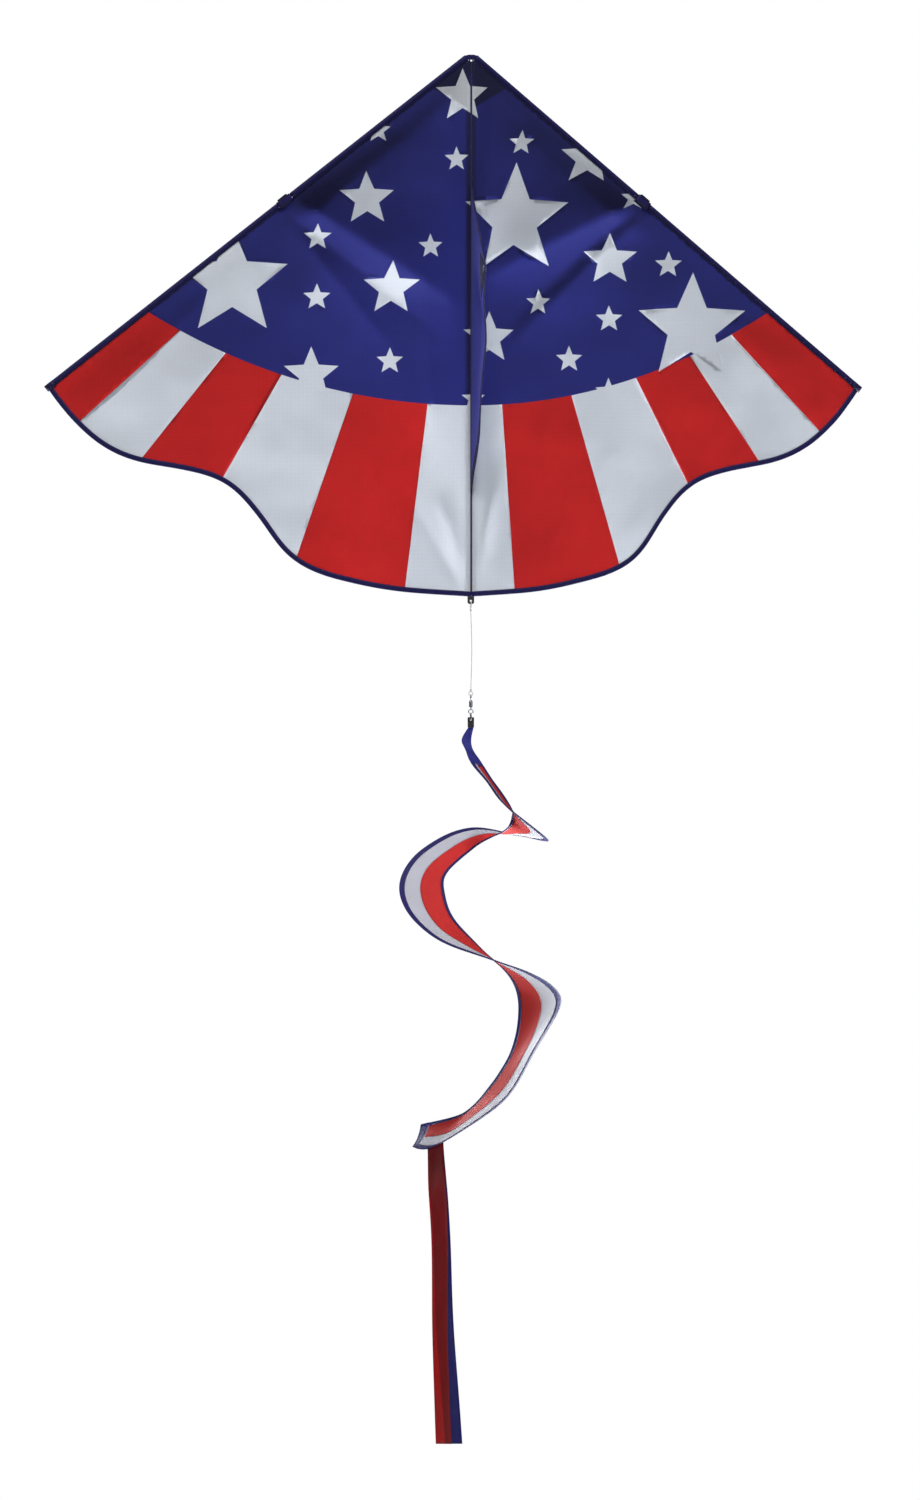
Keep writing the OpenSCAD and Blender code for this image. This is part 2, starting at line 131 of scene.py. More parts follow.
def smooth(x, low, high):
    """0 below low, 1 above high, and an even S between."""
    t = max(0.0, min(1.0, (x - low) / (high - low)))
    return t * t * (3 - 2 * t)


def steps(low, high, spacing):
    """Evenly spaced numbers from low to high, about spacing apart."""
    count = max(1, round((high - low) / spacing))
    return [low + (high - low) * i / count for i in range(count + 1)]


def round_turn(count):
    """Angles evenly round a circle."""
    return [k * math.tau / count for k in range(count)]


def running(points):
    """The distance along a line at each of its points."""
    total = [0.0]
    for a, b in zip(points, points[1:]):
        total.append(total[-1] + (b - a).length)
    return total


def locate(total, s):
    """The index of the point that ends the stretch holding distance s, and the share of it passed."""
    i = min(max(bisect_left(total, s), 1), len(total) - 1)
    return i, (s - total[i - 1]) / (total[i] - total[i - 1])


def point_along(points, total, s):
    i, share = locate(total, s)
    return points[i - 1].lerp(points[i], share)


def resampled(points, spacing):
    total = running(points)
    return [point_along(points, total, s) for s in steps(0, total[-1], spacing)]


def rounded(corners, radius, closed=False):
    """A line with its inner corners cut by small arcs, so that a tape can follow it."""
    made = []
    for i, p in enumerate(corners):
        if i in (0, len(corners) - 1) and not closed:
            made.append(p)
            continue
        a = p + radius * (corners[i - 1] - p).normalized()
        b = p + radius * (corners[(i + 1) % len(corners)] - p).normalized()
        made += [(1 - t) ** 2 * a + 2 * t * (1 - t) * p + t * t * b for t in steps(0, 1, 0.2)]
    return made


def catmull(rows, t):
    """A smooth curve through rows of numbers, at t from 0 to the last row's index."""
    i = min(int(t), len(rows) - 2)
    f = t - i
    a, b, c, d = rows[max(i - 1, 0)], rows[i], rows[i + 1], rows[min(i + 2, len(rows) - 1)]
    return [0.5 * (2 * q + f * (r - p) + f * f * (2 * p - 5 * q + 4 * r - s)
                   + f ** 3 * (3 * q - 3 * r + s - p)) for p, q, r, s in zip(a, b, c, d)]


def cubic(c, t):
    return (1 - t) ** 3 * c[0] + 3 * t * (1 - t) ** 2 * c[1] + 3 * t * t * (1 - t) * c[2] + t ** 3 * c[3]


def inside(point, outline):
    """True if a flat point lies in a closed outline."""
    found = False
    x, y = point
    for (ax, ay), (bx, by) in zip(outline, outline[1:] + outline[:1]):
        if (ay > y) != (by > y) and x < ax + (y - ay) * (bx - ax) / (by - ay):
            found = not found
    return found


# ---------------- node trees

def linear(code):
    """A colour such as 2b3092 as linear red, green, blue and alpha."""
    parts = [int(code[i:i + 2], 16) / 255 for i in (0, 2, 4)]
    return [c / 12.92 if c <= 0.04045 else ((c + 0.055) / 1.055) ** 2.4 for c in parts] + [1.0]


def scaled(colour, k):
    return [min(1.0, c * k) for c in colour[:3]] + [1.0]


class Tree:
    """The node tree of a material or the world, with short ways to add linked nodes."""

    def __init__(self, owner):
        owner.use_nodes = True
        self.owner = owner
        self.tree = owner.node_tree
        self.tree.nodes.clear()

    def add(self, kind, inputs=None, **settings):
        node = self.tree.nodes.new("ShaderNode" + kind)
        for key, value in settings.items():
            setattr(node, key, value)
        for key, value in (inputs or {}).items():
            if isinstance(value, bpy.types.NodeSocket):
                self.tree.links.new(value, node.inputs[key])
            else:
                node.inputs[key].default_value = value
        return node

    def math(self, operation, a, b=0.0, c=0.0):
        return self.add("Math", {0: a, 1: b, 2: c}, operation=operation).outputs[0]

    def mix(self, factor, a, b):
        return self.add("Mix", {0: factor, 6: a, 7: b}, data_type="RGBA").outputs[2]

    def noise(self, vector, scale, detail=3.0):
        return self.add("TexNoise", {"Vector": vector, "Scale": scale, "Detail": detail}).outputs["Fac"]

    def between(self, value, low, high):
        """value, from 0 to 1, turned into low to high."""
        return self.math("MULTIPLY_ADD", value, high - low, low)

    def toned(self, code, factor, low, high, *flecks):
        """A colour, uneven from low to high times itself. Each fleck is its amount and how many times it."""
        colour = linear(code)
        made = self.mix(factor, scaled(colour, low), scaled(colour, high))
        for amount, times in flecks:
            made = self.mix(amount, made, scaled(colour, times))
        return made

    def bump(self, strength, distance, height):
        return self.add("Bump", {"Strength": strength, "Distance": distance, "Height": height}).outputs[0]

    def body(self, colour, rough, normal, more):
        """The main shader. more holds its other sockets and their values."""
        sockets = {"Base Color": colour, "Roughness": rough, "Normal": normal, **more}
        return self.add("BsdfPrincipled", sockets).outputs[0]

    def both(self, share, first, second):
        """Two shaders together, with a share of the second."""
        return self.add("MixShader", {0: share, 1: first, 2: second}).outputs[0]

    def surface(self, shader):
        self.add("OutputMaterial", {"Surface": shader})
        return self.owner


def material_tree(name):
    return Tree(bpy.data.materials.new(name))


def cloth_axes(t):
    """The cloth's own two coordinates, in metres."""
    uv = t.add("UVMap", uv_map="cloth").outputs["UV"]
    axes = t.add("SeparateXYZ", {"Vector": uv})
    return uv, axes.outputs["X"], axes.outputs["Y"]


def ribs(t, along, pitch):
    """A wave from -1 to 1 with one rib every pitch metres."""
    return t.math("SINE", t.math("MULTIPLY", along, 2 * math.pi / pitch))


def off_lines(t, along, spacing, width):
    """1 between thin lines drawn every spacing metres, and 0 on them."""
    place = t.math("FRACT", t.math("DIVIDE", along, spacing))
    return t.math("COMPARE", place, 0.5, 0.5 - width / spacing / 2)


def cloth(name, front, glowing, ripstop=6 * MM, relief=0.5):
    """Woven cloth: fine threads, heavier ripstop lines, uneven dye and soft handling creases.

    front is the colour it reflects and glowing the colour of the light that comes through it.
    """
    t = material_tree(name)
    uv, u, v = cloth_axes(t)
    threads = t.math("MULTIPLY", *(ribs(t, along, 0.5 * MM) for along in (u, v)))
    clear = t.math("MULTIPLY", *(off_lines(t, along, ripstop, 0.45 * MM) for along in (u, v)))
    cloudy = t.noise(uv, 7.0, 4.0)
    fine = t.noise(uv, 140.0, 2.0)
    creased = t.noise(uv, 38.0)
    flecks = [(t.between(fine, 0.0, 0.35), 0.9), (t.between(clear, 0.16, 0.0), 1.35)]
    height = t.math("ADD", t.math("MULTIPLY", threads, 0.25), t.between(clear, 0.8, 0.0))
    bump = t.bump(relief, 0.00012, t.math("ADD", height, t.math("MULTIPLY", creased, 3.0)))
    body = t.body(t.toned(front, cloudy, 0.84, 1.16, *flecks), t.between(fine, 0.54, 0.7), bump,
                  {"Specular IOR Level": 0.2, "Sheen Weight": 0.05, "Sheen Roughness": 0.45})
    lit = t.toned(glowing, cloudy, 0.84, 1.16, *flecks)
    glow = t.add("BsdfTranslucent", {"Color": lit, "Normal": bump}).outputs[0]
    return t.surface(t.both(0.4, body, glow))


def tape(name, code, rough=0.55, pitch=0.8 * MM):
    """Woven tape: ribs across it, a twill set off from them, and wear on the ribs."""
    t = material_tree(name)
    uv, u, v = cloth_axes(t)
    across = ribs(t, u, pitch)
    twill = ribs(t, t.math("ADD", u, v), 1.7 * pitch)
    fine = t.noise(uv, 260.0, 2.0)
    worn = t.math("MULTIPLY", t.between(across, 0.5, 1.0), fine)
    colour = t.toned(code, t.noise(uv, 22.0), 0.78, 1.18, (t.math("MULTIPLY", worn, 0.35), 1.8))
    bump = t.bump(0.6, 0.0001, t.math("ADD", across, t.math("MULTIPLY", twill, 0.5)))
    return t.surface(t.body(colour, t.between(fine, rough - 0.1, rough + 0.1), bump,
                            {"Specular IOR Level": 0.25, "Sheen Weight": 0.05, "Sheen Roughness": 0.5}))


def satin(name, front, seen_through):
    """Thin ribbon: fine ribs along it, a soft streaky shine from rougher and smoother streaks, with painted
    highlight lightening the colour along them, and what lies behind it showing through.
    """
    t = material_tree(name)
    uv, _, v = cloth_axes(t)
    stretched = t.add("Mapping", {"Vector": uv, "Scale": (6.0, 220.0, 1.0)}).outputs[0]
    sheen_streak = t.noise(stretched, 1.0)
    cloudy = t.noise(uv, 26.0)
    # painted highlight: the colour is lightened up to 1.4 times along the sheen streaks
    colour = t.toned(front, cloudy, 0.8, 1.2, (t.between(sheen_streak, 0.0, 0.4), 1.4))
    bump = t.bump(0.35, 0.0001, t.math("ADD", t.math("MULTIPLY", ribs(t, v, 0.35 * MM), 0.3), sheen_streak))
    body = t.body(colour, t.between(sheen_streak, 0.36, 0.54), bump,
                  {"Anisotropic": 0.5, "Sheen Weight": 0.06, "Sheen Roughness": 0.4})
    sheer = t.add("BsdfTransparent", {"Color": t.toned(seen_through, cloudy, 0.85, 1.1)}).outputs[0]
    return t.surface(t.both(0.5, body, sheer))


def twisted(name, code, pitch):
    """Thread or braided line: strands wound round it, with fuzz, painted shade darkening the grooves between
    strands and a slight painted highlight on their crowns.
    """
    t = material_tree(name)
    uv, u, v = cloth_axes(t)
    strands = t.math("MAXIMUM", *(ribs(t, t.math(way, u, v), pitch) for way in ("ADD", "SUBTRACT")))
    fine = t.noise(uv, 900.0, 2.0)
    # painted shade: the colour darkens to 0.62 times in the grooves between strands and lightens to 1.1
    # times on their crowns
    colour = t.toned(code, t.between(strands, 0.5, 1.0), 0.62, 1.1, (t.between(fine, 0.0, 0.3), 1.25))
    return t.surface(t.body(colour, t.between(fine, 0.5, 0.75), t.bump(0.7, 0.0001, strands),
                            {"Sheen Weight": 0.25, "Sheen Roughness": 0.5}))


def pultruded(name, code, along):
    """Glass fibre rod: streaks of fibre along it under a thin gloss, with scuffs."""
    t = material_tree(name)
    where = t.add("TexCoord").outputs["Object"]
    turn = Vector(along).rotation_difference(Vector((0, 0, 1))).to_euler()
    turned = t.add("Mapping", {"Vector": where, "Rotation": turn}).outputs[0]
    drawn = t.add("Mapping", {"Vector": turned, "Scale": (900.0, 900.0, 14.0)}).outputs[0]
    fibre = t.noise(drawn, 1.0, 4.0)
    scuff = t.noise(where, 60.0, 4.0)
    colour = t.toned(code, fibre, 0.55, 1.7, (t.between(scuff, 0.0, 0.25), 2.2))
    return t.surface(t.body(colour, t.between(scuff, 0.3, 0.5), t.bump(0.25, 0.00005, fibre),
                            {"Coat Weight": 0.3, "Coat Roughness": 0.15}))


def moulded(name, code, rough, grain, shine=0.5):
    """Moulded plastic or vinyl: a fine grained skin, duller where it is handled."""
    t = material_tree(name)
    where = t.add("TexCoord").outputs["Object"]
    skin = t.noise(where, grain, 4.0)
    handled = t.noise(where, 90.0)
    colour = t.toned(code, handled, 0.75, 1.45, (t.between(skin, 0.0, 0.25), 2.4))
    return t.surface(t.body(colour, t.between(handled, rough - 0.08, rough + 0.12),
                            t.bump(0.35, 0.00006, skin), {"Specular IOR Level": shine}))


def metal(name, code, rough):
    """Plated metal: fine turned scratches and slightly uneven tarnish."""
    t = material_tree(name)
    where = t.add("TexCoord").outputs["Object"]
    tarnish = t.noise(where, 420.0, 4.0)
    return t.surface(t.body(t.toned(code, tarnish, 0.7, 1.1), t.between(tarnish, rough - 0.06, rough + 0.16),
                            t.bump(0.15, 0.00004, t.noise(where, 3500.0)), {"Metallic": 1.0}))


SAIL_BLUE = cloth("sail_blue", "262648", "7c83d6")
SAIL_RED = cloth("sail_red", "be2727", "ea6a6c")
SAIL_WHITE = cloth("sail_white", "dcdfe4", "e7ecf6")
# painted light: the keel's blue is a lighter copy of the sail's blue cloth, standing in for the light on the
# keel's face
KEEL_PAINTED_LIT_BLUE = cloth("keel_blue", "5054b4", "9aa0f0")
SPIRAL_WHITE = cloth("spiral_white", "d4d5dc", "a8aab6", ripstop=5 * MM, relief=0.08)
SPIRAL_RED = cloth("spiral_red", "c83430", "c86468", ripstop=5 * MM, relief=0.08)
SPIRAL_NAVY = cloth("spiral_navy", "2c2c68", "7074bc", ripstop=5 * MM, relief=0.08)
NAVY_TAPE = tape("navy_tape", "15104e")
STRIP_TAPE = tape("strip_tape", "1a175e")
NAVY_WEB = tape("navy_webbing", "131140", rough=0.65, pitch=1.6 * MM)
RED_RIBBON = satin("red_ribbon", "8c1a1e", "d81e22")
BLUE_RIBBON = satin("blue_ribbon", "20205c", "3434a4")
NAVY_THREAD = twisted("navy_thread", "1c1a58", 0.5 * MM)
WHITE_LINE = twisted("braided_line", "c8c8c4", 0.7 * MM)
BLACK_VINYL = moulded("black_vinyl", "141416", rough=0.42, grain=700.0)
BLACK_NYLON = moulded("black_nylon", "17171a", rough=0.5, grain=1400.0, shine=0.4)
NICKEL = metal("nickel", "b9bcc2", rough=0.24)
STEEL = metal("dark_steel", "8c9096", rough=0.3)
TAPED = [NAVY_TAPE, NAVY_THREAD]
STRIP_TAPED = [STRIP_TAPE, NAVY_THREAD]


# ---------------- building meshes

THREAD_R = 0.3 * MM
CLOTH = 0.3 * MM
# a stitch's rings: share of its length, share of the thread's radius, and lift off the cloth in radii
STITCH = [(0.0, 0.35, -0.4), (0.22, 1.0, 0.35), (0.78, 1.0, 0.35), (1.0, 0.35, -0.4)]
# binding folded over an edge, as (inset, out) in millimetres
BINDING = [(7.5, 0.2), (7.4, 0.62), (6.6, 0.75), (3.6, 0.8), (1.0, 0.78), (0.15, 0.5), (-0.1, 0.0),
           (0.15, -0.5), (1.0, -0.78), (3.6, -0.8), (6.6, -0.75), (7.4, -0.62), (7.5, -0.2)]


def settle(obj, body, stands_for):
    """Gives a piece its body and hides the frame's nodes that it replaces."""
    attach(obj, body)
    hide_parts(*stands_for)
    return obj


def piece(name, points, faces, uvs, materials, body, slot, stands_for=(), picks=None, thick=0.0, offset=0.0):
    """A smooth mesh that rides on a body. uvs holds one pair for each corner of each face, in order."""
    mesh = bpy.data.meshes.new(name)
    mesh.from_pydata([tuple(p) for p in points], [], faces)
    for m in materials:
        mesh.materials.append(m)
    if picks:
        mesh.polygons.foreach_set("material_index", picks)
    layer = mesh.uv_layers.new(name="cloth")
    layer.data.foreach_set("uv", [x for pair in uvs for x in pair])
    mesh.polygons.foreach_set("use_smooth", [True] * len(faces))
    bm = bmesh.new()
    bm.from_mesh(mesh)
    bmesh.ops.recalc_face_normals(bm, faces=bm.faces)
    bm.to_mesh(mesh)
    bm.free()
    obj = placed(name, mesh)
    if thick:
        shell = obj.modifiers.new("thickness", "SOLIDIFY")
        shell.thickness = thick
        shell.offset = offset
    return settle(obj, body, stands_for)


def flat_piece(name, flat, faces, lay, *rest, **more):
    """A piece cut flat and laid in place by lay(point), with its flat area."""
    uvs = [(flat[i].x, flat[i].y) for face in faces for i in face]
    area = sum(abs((flat[b] - flat[a]).cross(flat[c] - flat[a])) / 2 for a, b, c in faces)
    return piece(name, [lay(p) for p in flat], faces, uvs, *rest, **more), area


class Sweep:
    """Points and faces gathered from rings, sheets and caps, for one piece."""

    def __init__(self):
        self.points, self.faces, self.uvs, self.picks = [], [], [], []

    def rings(self, rings, closed=True, caps=True, pick=0):
        """Joins rings of equal length, in order. A closed ring's last point joins its first."""
        n, base = len(rings[0]), len(self.points)
        along = running([sum(r, Vector()) / n for r in rings])
        middle = rings[len(rings) // 2]
        around = running(middle + middle[:1])
        for ring in rings:
            self.points += ring
        for i in range(len(rings) - 1):
            for j in range(n if closed else n - 1):
                k = (j + 1) % n
                low, high = base + i * n, base + (i + 1) * n
                self.faces.append((low + j, low + k, high + k, high + j))
                self.uvs += [(along[i], around[j]), (along[i], around[j + 1]),
                             (along[i + 1], around[j + 1]), (along[i + 1], around[j])]
                self.picks.append(pick)
        if closed and caps:
            for start, ring in ((base, rings[0]), (base + (len(rings) - 1) * n, rings[-1])):
                centre = sum(ring, Vector()) / n
                self.faces.append(tuple(range(start, start + n)))
                self.uvs += [((p - centre).length, around[j]) for j, p in enumerate(ring)]
                self.picks.append(pick)

    def wrap(self, places, at, section, closed=True):
        """A section, in millimetres, carried along an edge. at(place, inset, out) gives a point of it."""
        self.rings([[at(s, inset * MM, out * MM) for inset, out in section] for s in places], closed)

    def bind(self, places, at):
        """Binding folded over an edge."""
        self.wrap(places, at, BINDING)

    def stitches(self, pairs, radius=THREAD_R, pick=0):
        """Short raised threads. Each is ((point, normal), (point, normal)) from end to end."""
        for (a, out_a), (b, out_b) in pairs:
            out = (out_a + out_b).normalized()
            side = (b - a).cross(out).normalized()
            rings = []
            for share, fat, lift in STITCH:
                centre = a.lerp(b, share) + lift * radius * out
                rings.append([centre + fat * radius * (math.cos(w) * side + math.sin(w) * out)
                              for w in round_turn(5)])
            self.rings(rings, pick=pick)

    def sew(self, at, start, stop, radius=THREAD_R, pick=1, **gauge):
        """A straight row on both faces. at(s, face) gives a point and the direction out of the cloth."""
        for face in (-1, 1):
            self.stitches(straight_run(lambda s: at(s, face), start, stop, **gauge), radius, pick)

    def make(self, name, *rest, **more):
        return piece(name, self.points, self.faces, self.uvs, *rest, picks=self.picks, **more)


def straight_run(at, start, stop, stitch=2.6 * MM, gap=0.9 * MM):
    """Ends of a row of straight stitches. at(s) gives a point and the direction out of the cloth."""
    starts = [start + i * (stitch + gap) for i in range(int((stop - start) / (stitch + gap)))]
    return [(at(s), at(s + stitch)) for s in starts]


def zigzag_run(at, start, stop, pitch=2.8 * MM, width=2.2 * MM):
    """Ends of a row of zigzag stitches. at(s, across) gives a point and the direction out of the cloth."""
    count = int((stop - start) / pitch * 2)
    places = [at(start + i * pitch / 2, width / 2 * (-1) ** i) for i in range(count)]
    return list(zip(places, places[1:]))


# ---------------- the tail line, its knots and loops

LINE_R = 0.6 * MM
LINE_ROUTE = [[0, 0], [0.4, 0.1], [0.9, 0.3], [1.3, 0.5], [1.5, 0.6], [1.5, 0.6], [1.3, 0.5], [0.9, 0.3],
              [0.4, 0.1], [0, 0]]
line_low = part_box("tail_line")[0].z
line_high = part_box("tail_line")[1].z


def line_point(share):
    x, y = catmull(LINE_ROUTE, share * (len(LINE_ROUTE) - 1))
    return Vector((x * MM, SPINE_Y + y * MM, line_high + share * (line_low - line_high)))


def circle(centre, radius, a, b, sides):
    return [centre + radius * (math.cos(w) * a + math.sin(w) * b) for w in round_turn(sides)]


def tube_rings(points, radius, sides=8):
    """Round rings along a line, turned as little as possible from one to the next."""
    rings = []
    side = (points[1] - points[0]).orthogonal().normalized()
    for i, p in enumerate(points):
        along = (points[min(i + 1, len(points) - 1)] - points[max(i - 1, 0)]).normalized()
        side = (side - side.dot(along) * along).normalized()
        rings.append(circle(p, radius, side, along.cross(side), sides))
    return rings


KNOT_H = 4 * MM
KNOT_WRAPS = 4


def loop_and_knot(name, node, facing):
    """The loop that a node's ring stands for, closed by a knot. facing is the loop's normal."""
    low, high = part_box(node)
    knot_above = facing == "y"
    knot_z = high.z - KNOT_H / 2 if knot_above else low.z + KNOT_H / 2
    into_knot = KNOT_H - 0.4 * MM - LINE_R
    loop_high = high.z - into_knot if knot_above else high.z
    loop_low = low.z if knot_above else low.z + into_knot
    across = Vector((0, 1, 0)) if facing == "x" else Vector((1, 0, 0))
    centre = Vector((0, SPINE_Y, (loop_high + loop_low) / 2))
    turns = circle(centre, (loop_high - loop_low) / 2 - LINE_R, Vector((0, 0, 1)), across, 36)
    sweep = Sweep()
    ring = tube_rings(turns + turns[:2], LINE_R)[:36]
    sweep.rings(ring + ring[:1], caps=False)
    coil = []
    for share in steps(0, 1, 1 / (KNOT_WRAPS * 16)):
        w = share * KNOT_WRAPS * math.tau
        swell = 1.0 * MM + 0.18 * MM * math.sin(math.pi * share)
        coil.append(Vector((swell * math.cos(w), SPINE_Y + swell * math.sin(w),
                            knot_z + (0.5 - share) * (KNOT_H - 2 * LINE_R))))
    sweep.rings(tube_rings(coil, LINE_R))
    core = [Vector((0, SPINE_Y, knot_z + k * KNOT_H / 2)) for k in (1.0, 0.3, -0.3, -1.0)]
    sweep.rings(tube_rings(core, LINE_R * 1.1))
    return sweep.make(name, [WHITE_LINE], "tail_cord", "line", [node])


def tail():
    upper = loop_and_knot("tail_knot_upper", "tail_loop_upper", "x")
    lower = loop_and_knot("tail_knot_lower", "tail_loop_lower", "y")
    points = [line_point(s) for s in steps(0, 1, 1 / 38)]
    data = bpy.data.curves.new("tail_cord_line", "CURVE")
    data.dimensions = "3D"
    data.bevel_depth = LINE_R
    data.bevel_resolution = 4
    data.use_fill_caps = True
    data.materials.append(WHITE_LINE)
    spline = data.splines.new("POLY")
    spline.points.add(len(points) - 1)
    for target, p in zip(spline.points, points):
        target.co = (*p, 1.0)
    spline.use_smooth = True
    line = settle(placed("tail_cord_line", data), "tail_cord", ["tail_line"])
    running(points)[-1]


tail()


# ---------------- the wings' flat pattern

SIN_E, COS_E = math.sin(EDGE_ANGLE), math.cos(EDGE_ANGLE)
SIN_D, COS_D = math.sin(DIHEDRAL), math.cos(DIHEDRAL)


def edge_point(s, inset):
    """A point s down the leading edge and inset into the wing, as (out, up) from the middle of the nose."""
    return Vector((NOSE_HALF + s * SIN_E - inset * COS_E, -s * COS_E - inset * SIN_E))


def edge_inset(r, z):
    """How far a flat point lies inside the leading edge."""
    return (NOSE_HALF - r) * COS_E - z * SIN_E


# the trailing edge from the tip to the seam: cubic curves by their four points as (out, up), in millimetres
TRAILING = [
    [(640, -489.5), (580, -577), (538, -598), (473, -608.5)],
    [(473, -608.5), (384, -622.5), (365, -630), (323, -683)],
    [(323, -683), (291, -724), (282, -757.5), (204, -777.5)],
    [(204, -777.5), (124, -797.5), (96, -798), (0, -803.5)],
]
trailing_line = [edge_point(EDGE_LENGTH, 0)]
for part in TRAILING:
    controls = [Vector(p) * MM for p in part]
    trailing_line += [cubic(controls, t) for t in steps(0, 1, 1 / 28)[1:]]
trailing_run = running(trailing_line)
TRAILING_LENGTH = trailing_run[-1]
trailing_heights = sorted((p.x, p.y) for p in trailing_line)


def trailing_point(s, inset):
    """A point s along the trailing edge from the tip, and inset into the wing."""
    i, share = locate(trailing_run, s)
    a, b = trailing_line[i - 1], trailing_line[i]
    before, after = trailing_line[max(i - 2, 0)], trailing_line[min(i + 1, len(trailing_line) - 1)]
    along = (b - before).normalized().lerp((after - a).normalized(), share).normalized()
    return a.lerp(b, share) + inset * Vector((along.y, -along.x))


def trailing_height(r):
    """How high the trailing edge is, r out along the wing."""
    i = min(max(bisect_left(trailing_heights, (r, 0.0)), 1), len(trailing_heights) - 1)
    (ra, za), (rb, zb) = trailing_heights[i - 1], trailing_heights[i]
    return za + (zb - za) * max(0.0, min(1.0, (r - ra) / max(rb - ra, 1e-9)))


# Folds in the set of the cloth, in millimetres: from and to as (out, up), then how deep behind the flat,
# and how far each fold reaches above and below its line. A negative depth stands in front.
FOLDS = {
    -1: [
        ((285, -200), (60, -344), 24.0, 170, 34),
        ((258, -250), (96, -378), -5.0, 24, 12),
        ((240, -290), (150, -400), 6.0, 20, 30),
        ((250, -215), (90, -92), -3.5, 9, 30),
        ((6, -782), (40, -684), 8.0, 5, 10),
        ((5, -770), (18, -660), -4.0, 6, 6),
        ((14, -790), (74, -690), -4.0, 8, 10),
        ((72, -330), (60, -540), 4.0, 16, 16),
        ((420, -380), (560, -520), 4.0, 40, 30),
    ],
    1: [
        ((285, -212), (60, -315), 22.0, 160, 32),
        ((270, -232), (112, -362), -5.0, 18, 12),
        ((255, -262), (110, -390), 6.0, 15, 30),
        ((230, -215), (40, -72), -3.5, 12, 30),
        ((6, -785), (40, -650), 6.0, 8, 6),
        ((430, -390), (560, -520), 3.5, 40, 30),
    ],
}
BELLY = 9 * MM
FLUTTER = 2.2 * MM
WRINKLE = 1.2 * MM


def fold_depth(fold, r, z):
    (r0, z0), (r1, z1), depth, above, below = fold
    start, end = Vector((r0, z0)) * MM, Vector((r1, z1)) * MM
    along = (end - start).normalized()
    length = (end - start).length
    off = Vector((r, z)) - start
    t = off.dot(along) / length
    up = off.dot(Vector((along.y, -along.x)))
    if abs(up) > 0.3 or not -0.6 < t < 1.8:
        return 0.0
    reach = (above if up > 0 else below) * MM * (0.45 + 0.55 * smooth(t, -0.1, 0.5))
    soft = 2.5 * MM
    shape = math.exp(-(math.sqrt(up * up + soft * soft) - soft) / reach)
    return depth * MM * shape * smooth(t, -0.35, 0.25) * (1 - smooth(t, 0.75, 1.5))


def lean(side, r, z):
    """How far the cloth lies behind the wing's flat plane."""
    inset = edge_inset(r, z)
    held = smooth(inset, 6 * MM, 45 * MM) * smooth(r, 1 * MM, 36 * MM)
    above_edge = max(0.0, z - trailing_height(r))
    back = BELLY * smooth(inset, 0, 0.16) * smooth(r, 0, 0.14)
    back += sum(fold_depth(fold, r, z) for fold in FOLDS[side])
    back += WRINKLE * 2 * noise.noise(Vector((r * 11, z * 11, side * 3.0)))
    back += WRINKLE * 0.6 * noise.noise(Vector((r * 34, z * 26, side * 5.0)))
    back += FLUTTER * math.exp(-above_edge / 0.05) * math.sin(r * 38 + side) * smooth(r, 0.02, 0.1)
    return held * back


def wing_place(side, r, z, back=0.0):
    """A flat point of a wing in the row frame, lying back behind the flat plane."""
    return Vector((side * (r * COS_D - back * SIN_D), SEAM_Y + r * SIN_D + back * COS_D, NOSE_Z + z))


def on_cloth(side, r, z, back=0.0):
    """A flat point of a wing as the cloth really lies, plus a little more back."""
    return wing_place(side, r, z, lean(side, r, z) + back)


def wing_back(side):
    """The direction straight behind a wing's plane."""
    return Vector((-side * SIN_D, COS_D, 0))


# ---------------- the printed pattern

STAR_INNER = 0.44
STAR_WIDE = {-1: 1.03, 1: 1.1}
# stars as (out, up, radius) in millimetres, where a negative out is on the left wing
STARS = [
    (-13, -61, 41), (-140, -112, 19), (192, -152, 41), (267, -211, 19), (86.5, -130, 19), (-23, -154.5, 19),
    (-160, -213, 41.5), (-233, -270, 20.5), (-64.5, -283.5, 19), (-122.5, -346, 42), (-234, -359, 20.5),
    (-360, -336, 85), (-242, -474, 42), (-124, -454, 20.5), (80, -244, 85), (232, -303, 40),
    (324, -310, 20.5), (364, -403, 82), (115, -367, 20), (230, -391, 20.5), (164.5, -451, 20.5),
    (229, -499, 21), (30, -420, 40), (4, -510, 18),
]
CANTON_CENTRE = Vector((0, 395 * MM))
CANTON_R = 915 * MM
# each boundary between stripes as two flat points in millimetres, outwards from the seam
STRIPES = {
    -1: [((67, -520), (100, -785)), ((181, -507), (260, -733)), ((290, -480), (371, -620)),
         ((374, -446), (494, -594)), ((446, -415), (583, -537))],
    1: [((52, -520), (72, -785)), ((170, -511), (244, -750)), ((280, -489), (359, -633)),
        ((376, -463), (475, -598)), ((448, -432), (570, -552))],
}
BLUE, RED, WHITE = 0, 1, 2


def star_outline(side, out, up, radius):
    centre = Vector((side * out, up)) * MM
    wide = STAR_WIDE[-1 if out < 0 else 1]
    return [centre + (radius if k % 2 == 0 else radius * STAR_INNER) * MM
            * Vector((wide * math.sin(k * math.pi / 5), math.cos(k * math.pi / 5))) for k in range(10)]


def near_stars(side):
    return [star_outline(side, *s) for s in STARS if side * s[0] > -(s[2] + 10)]


def stripe_line(line):
    """A stripe's boundary, from the arc it starts on to below the hem."""
    top, low = Vector(line[0]) * MM, Vector(line[1]) * MM
    along = (low - top).normalized()
    off = top - CANTON_CENTRE
    back = off.dot(along)
    start = -back + math.sqrt(back ** 2 - off.length_squared + CANTON_R ** 2)
    return [top + along * start, top + along * (start + 420 * MM)]


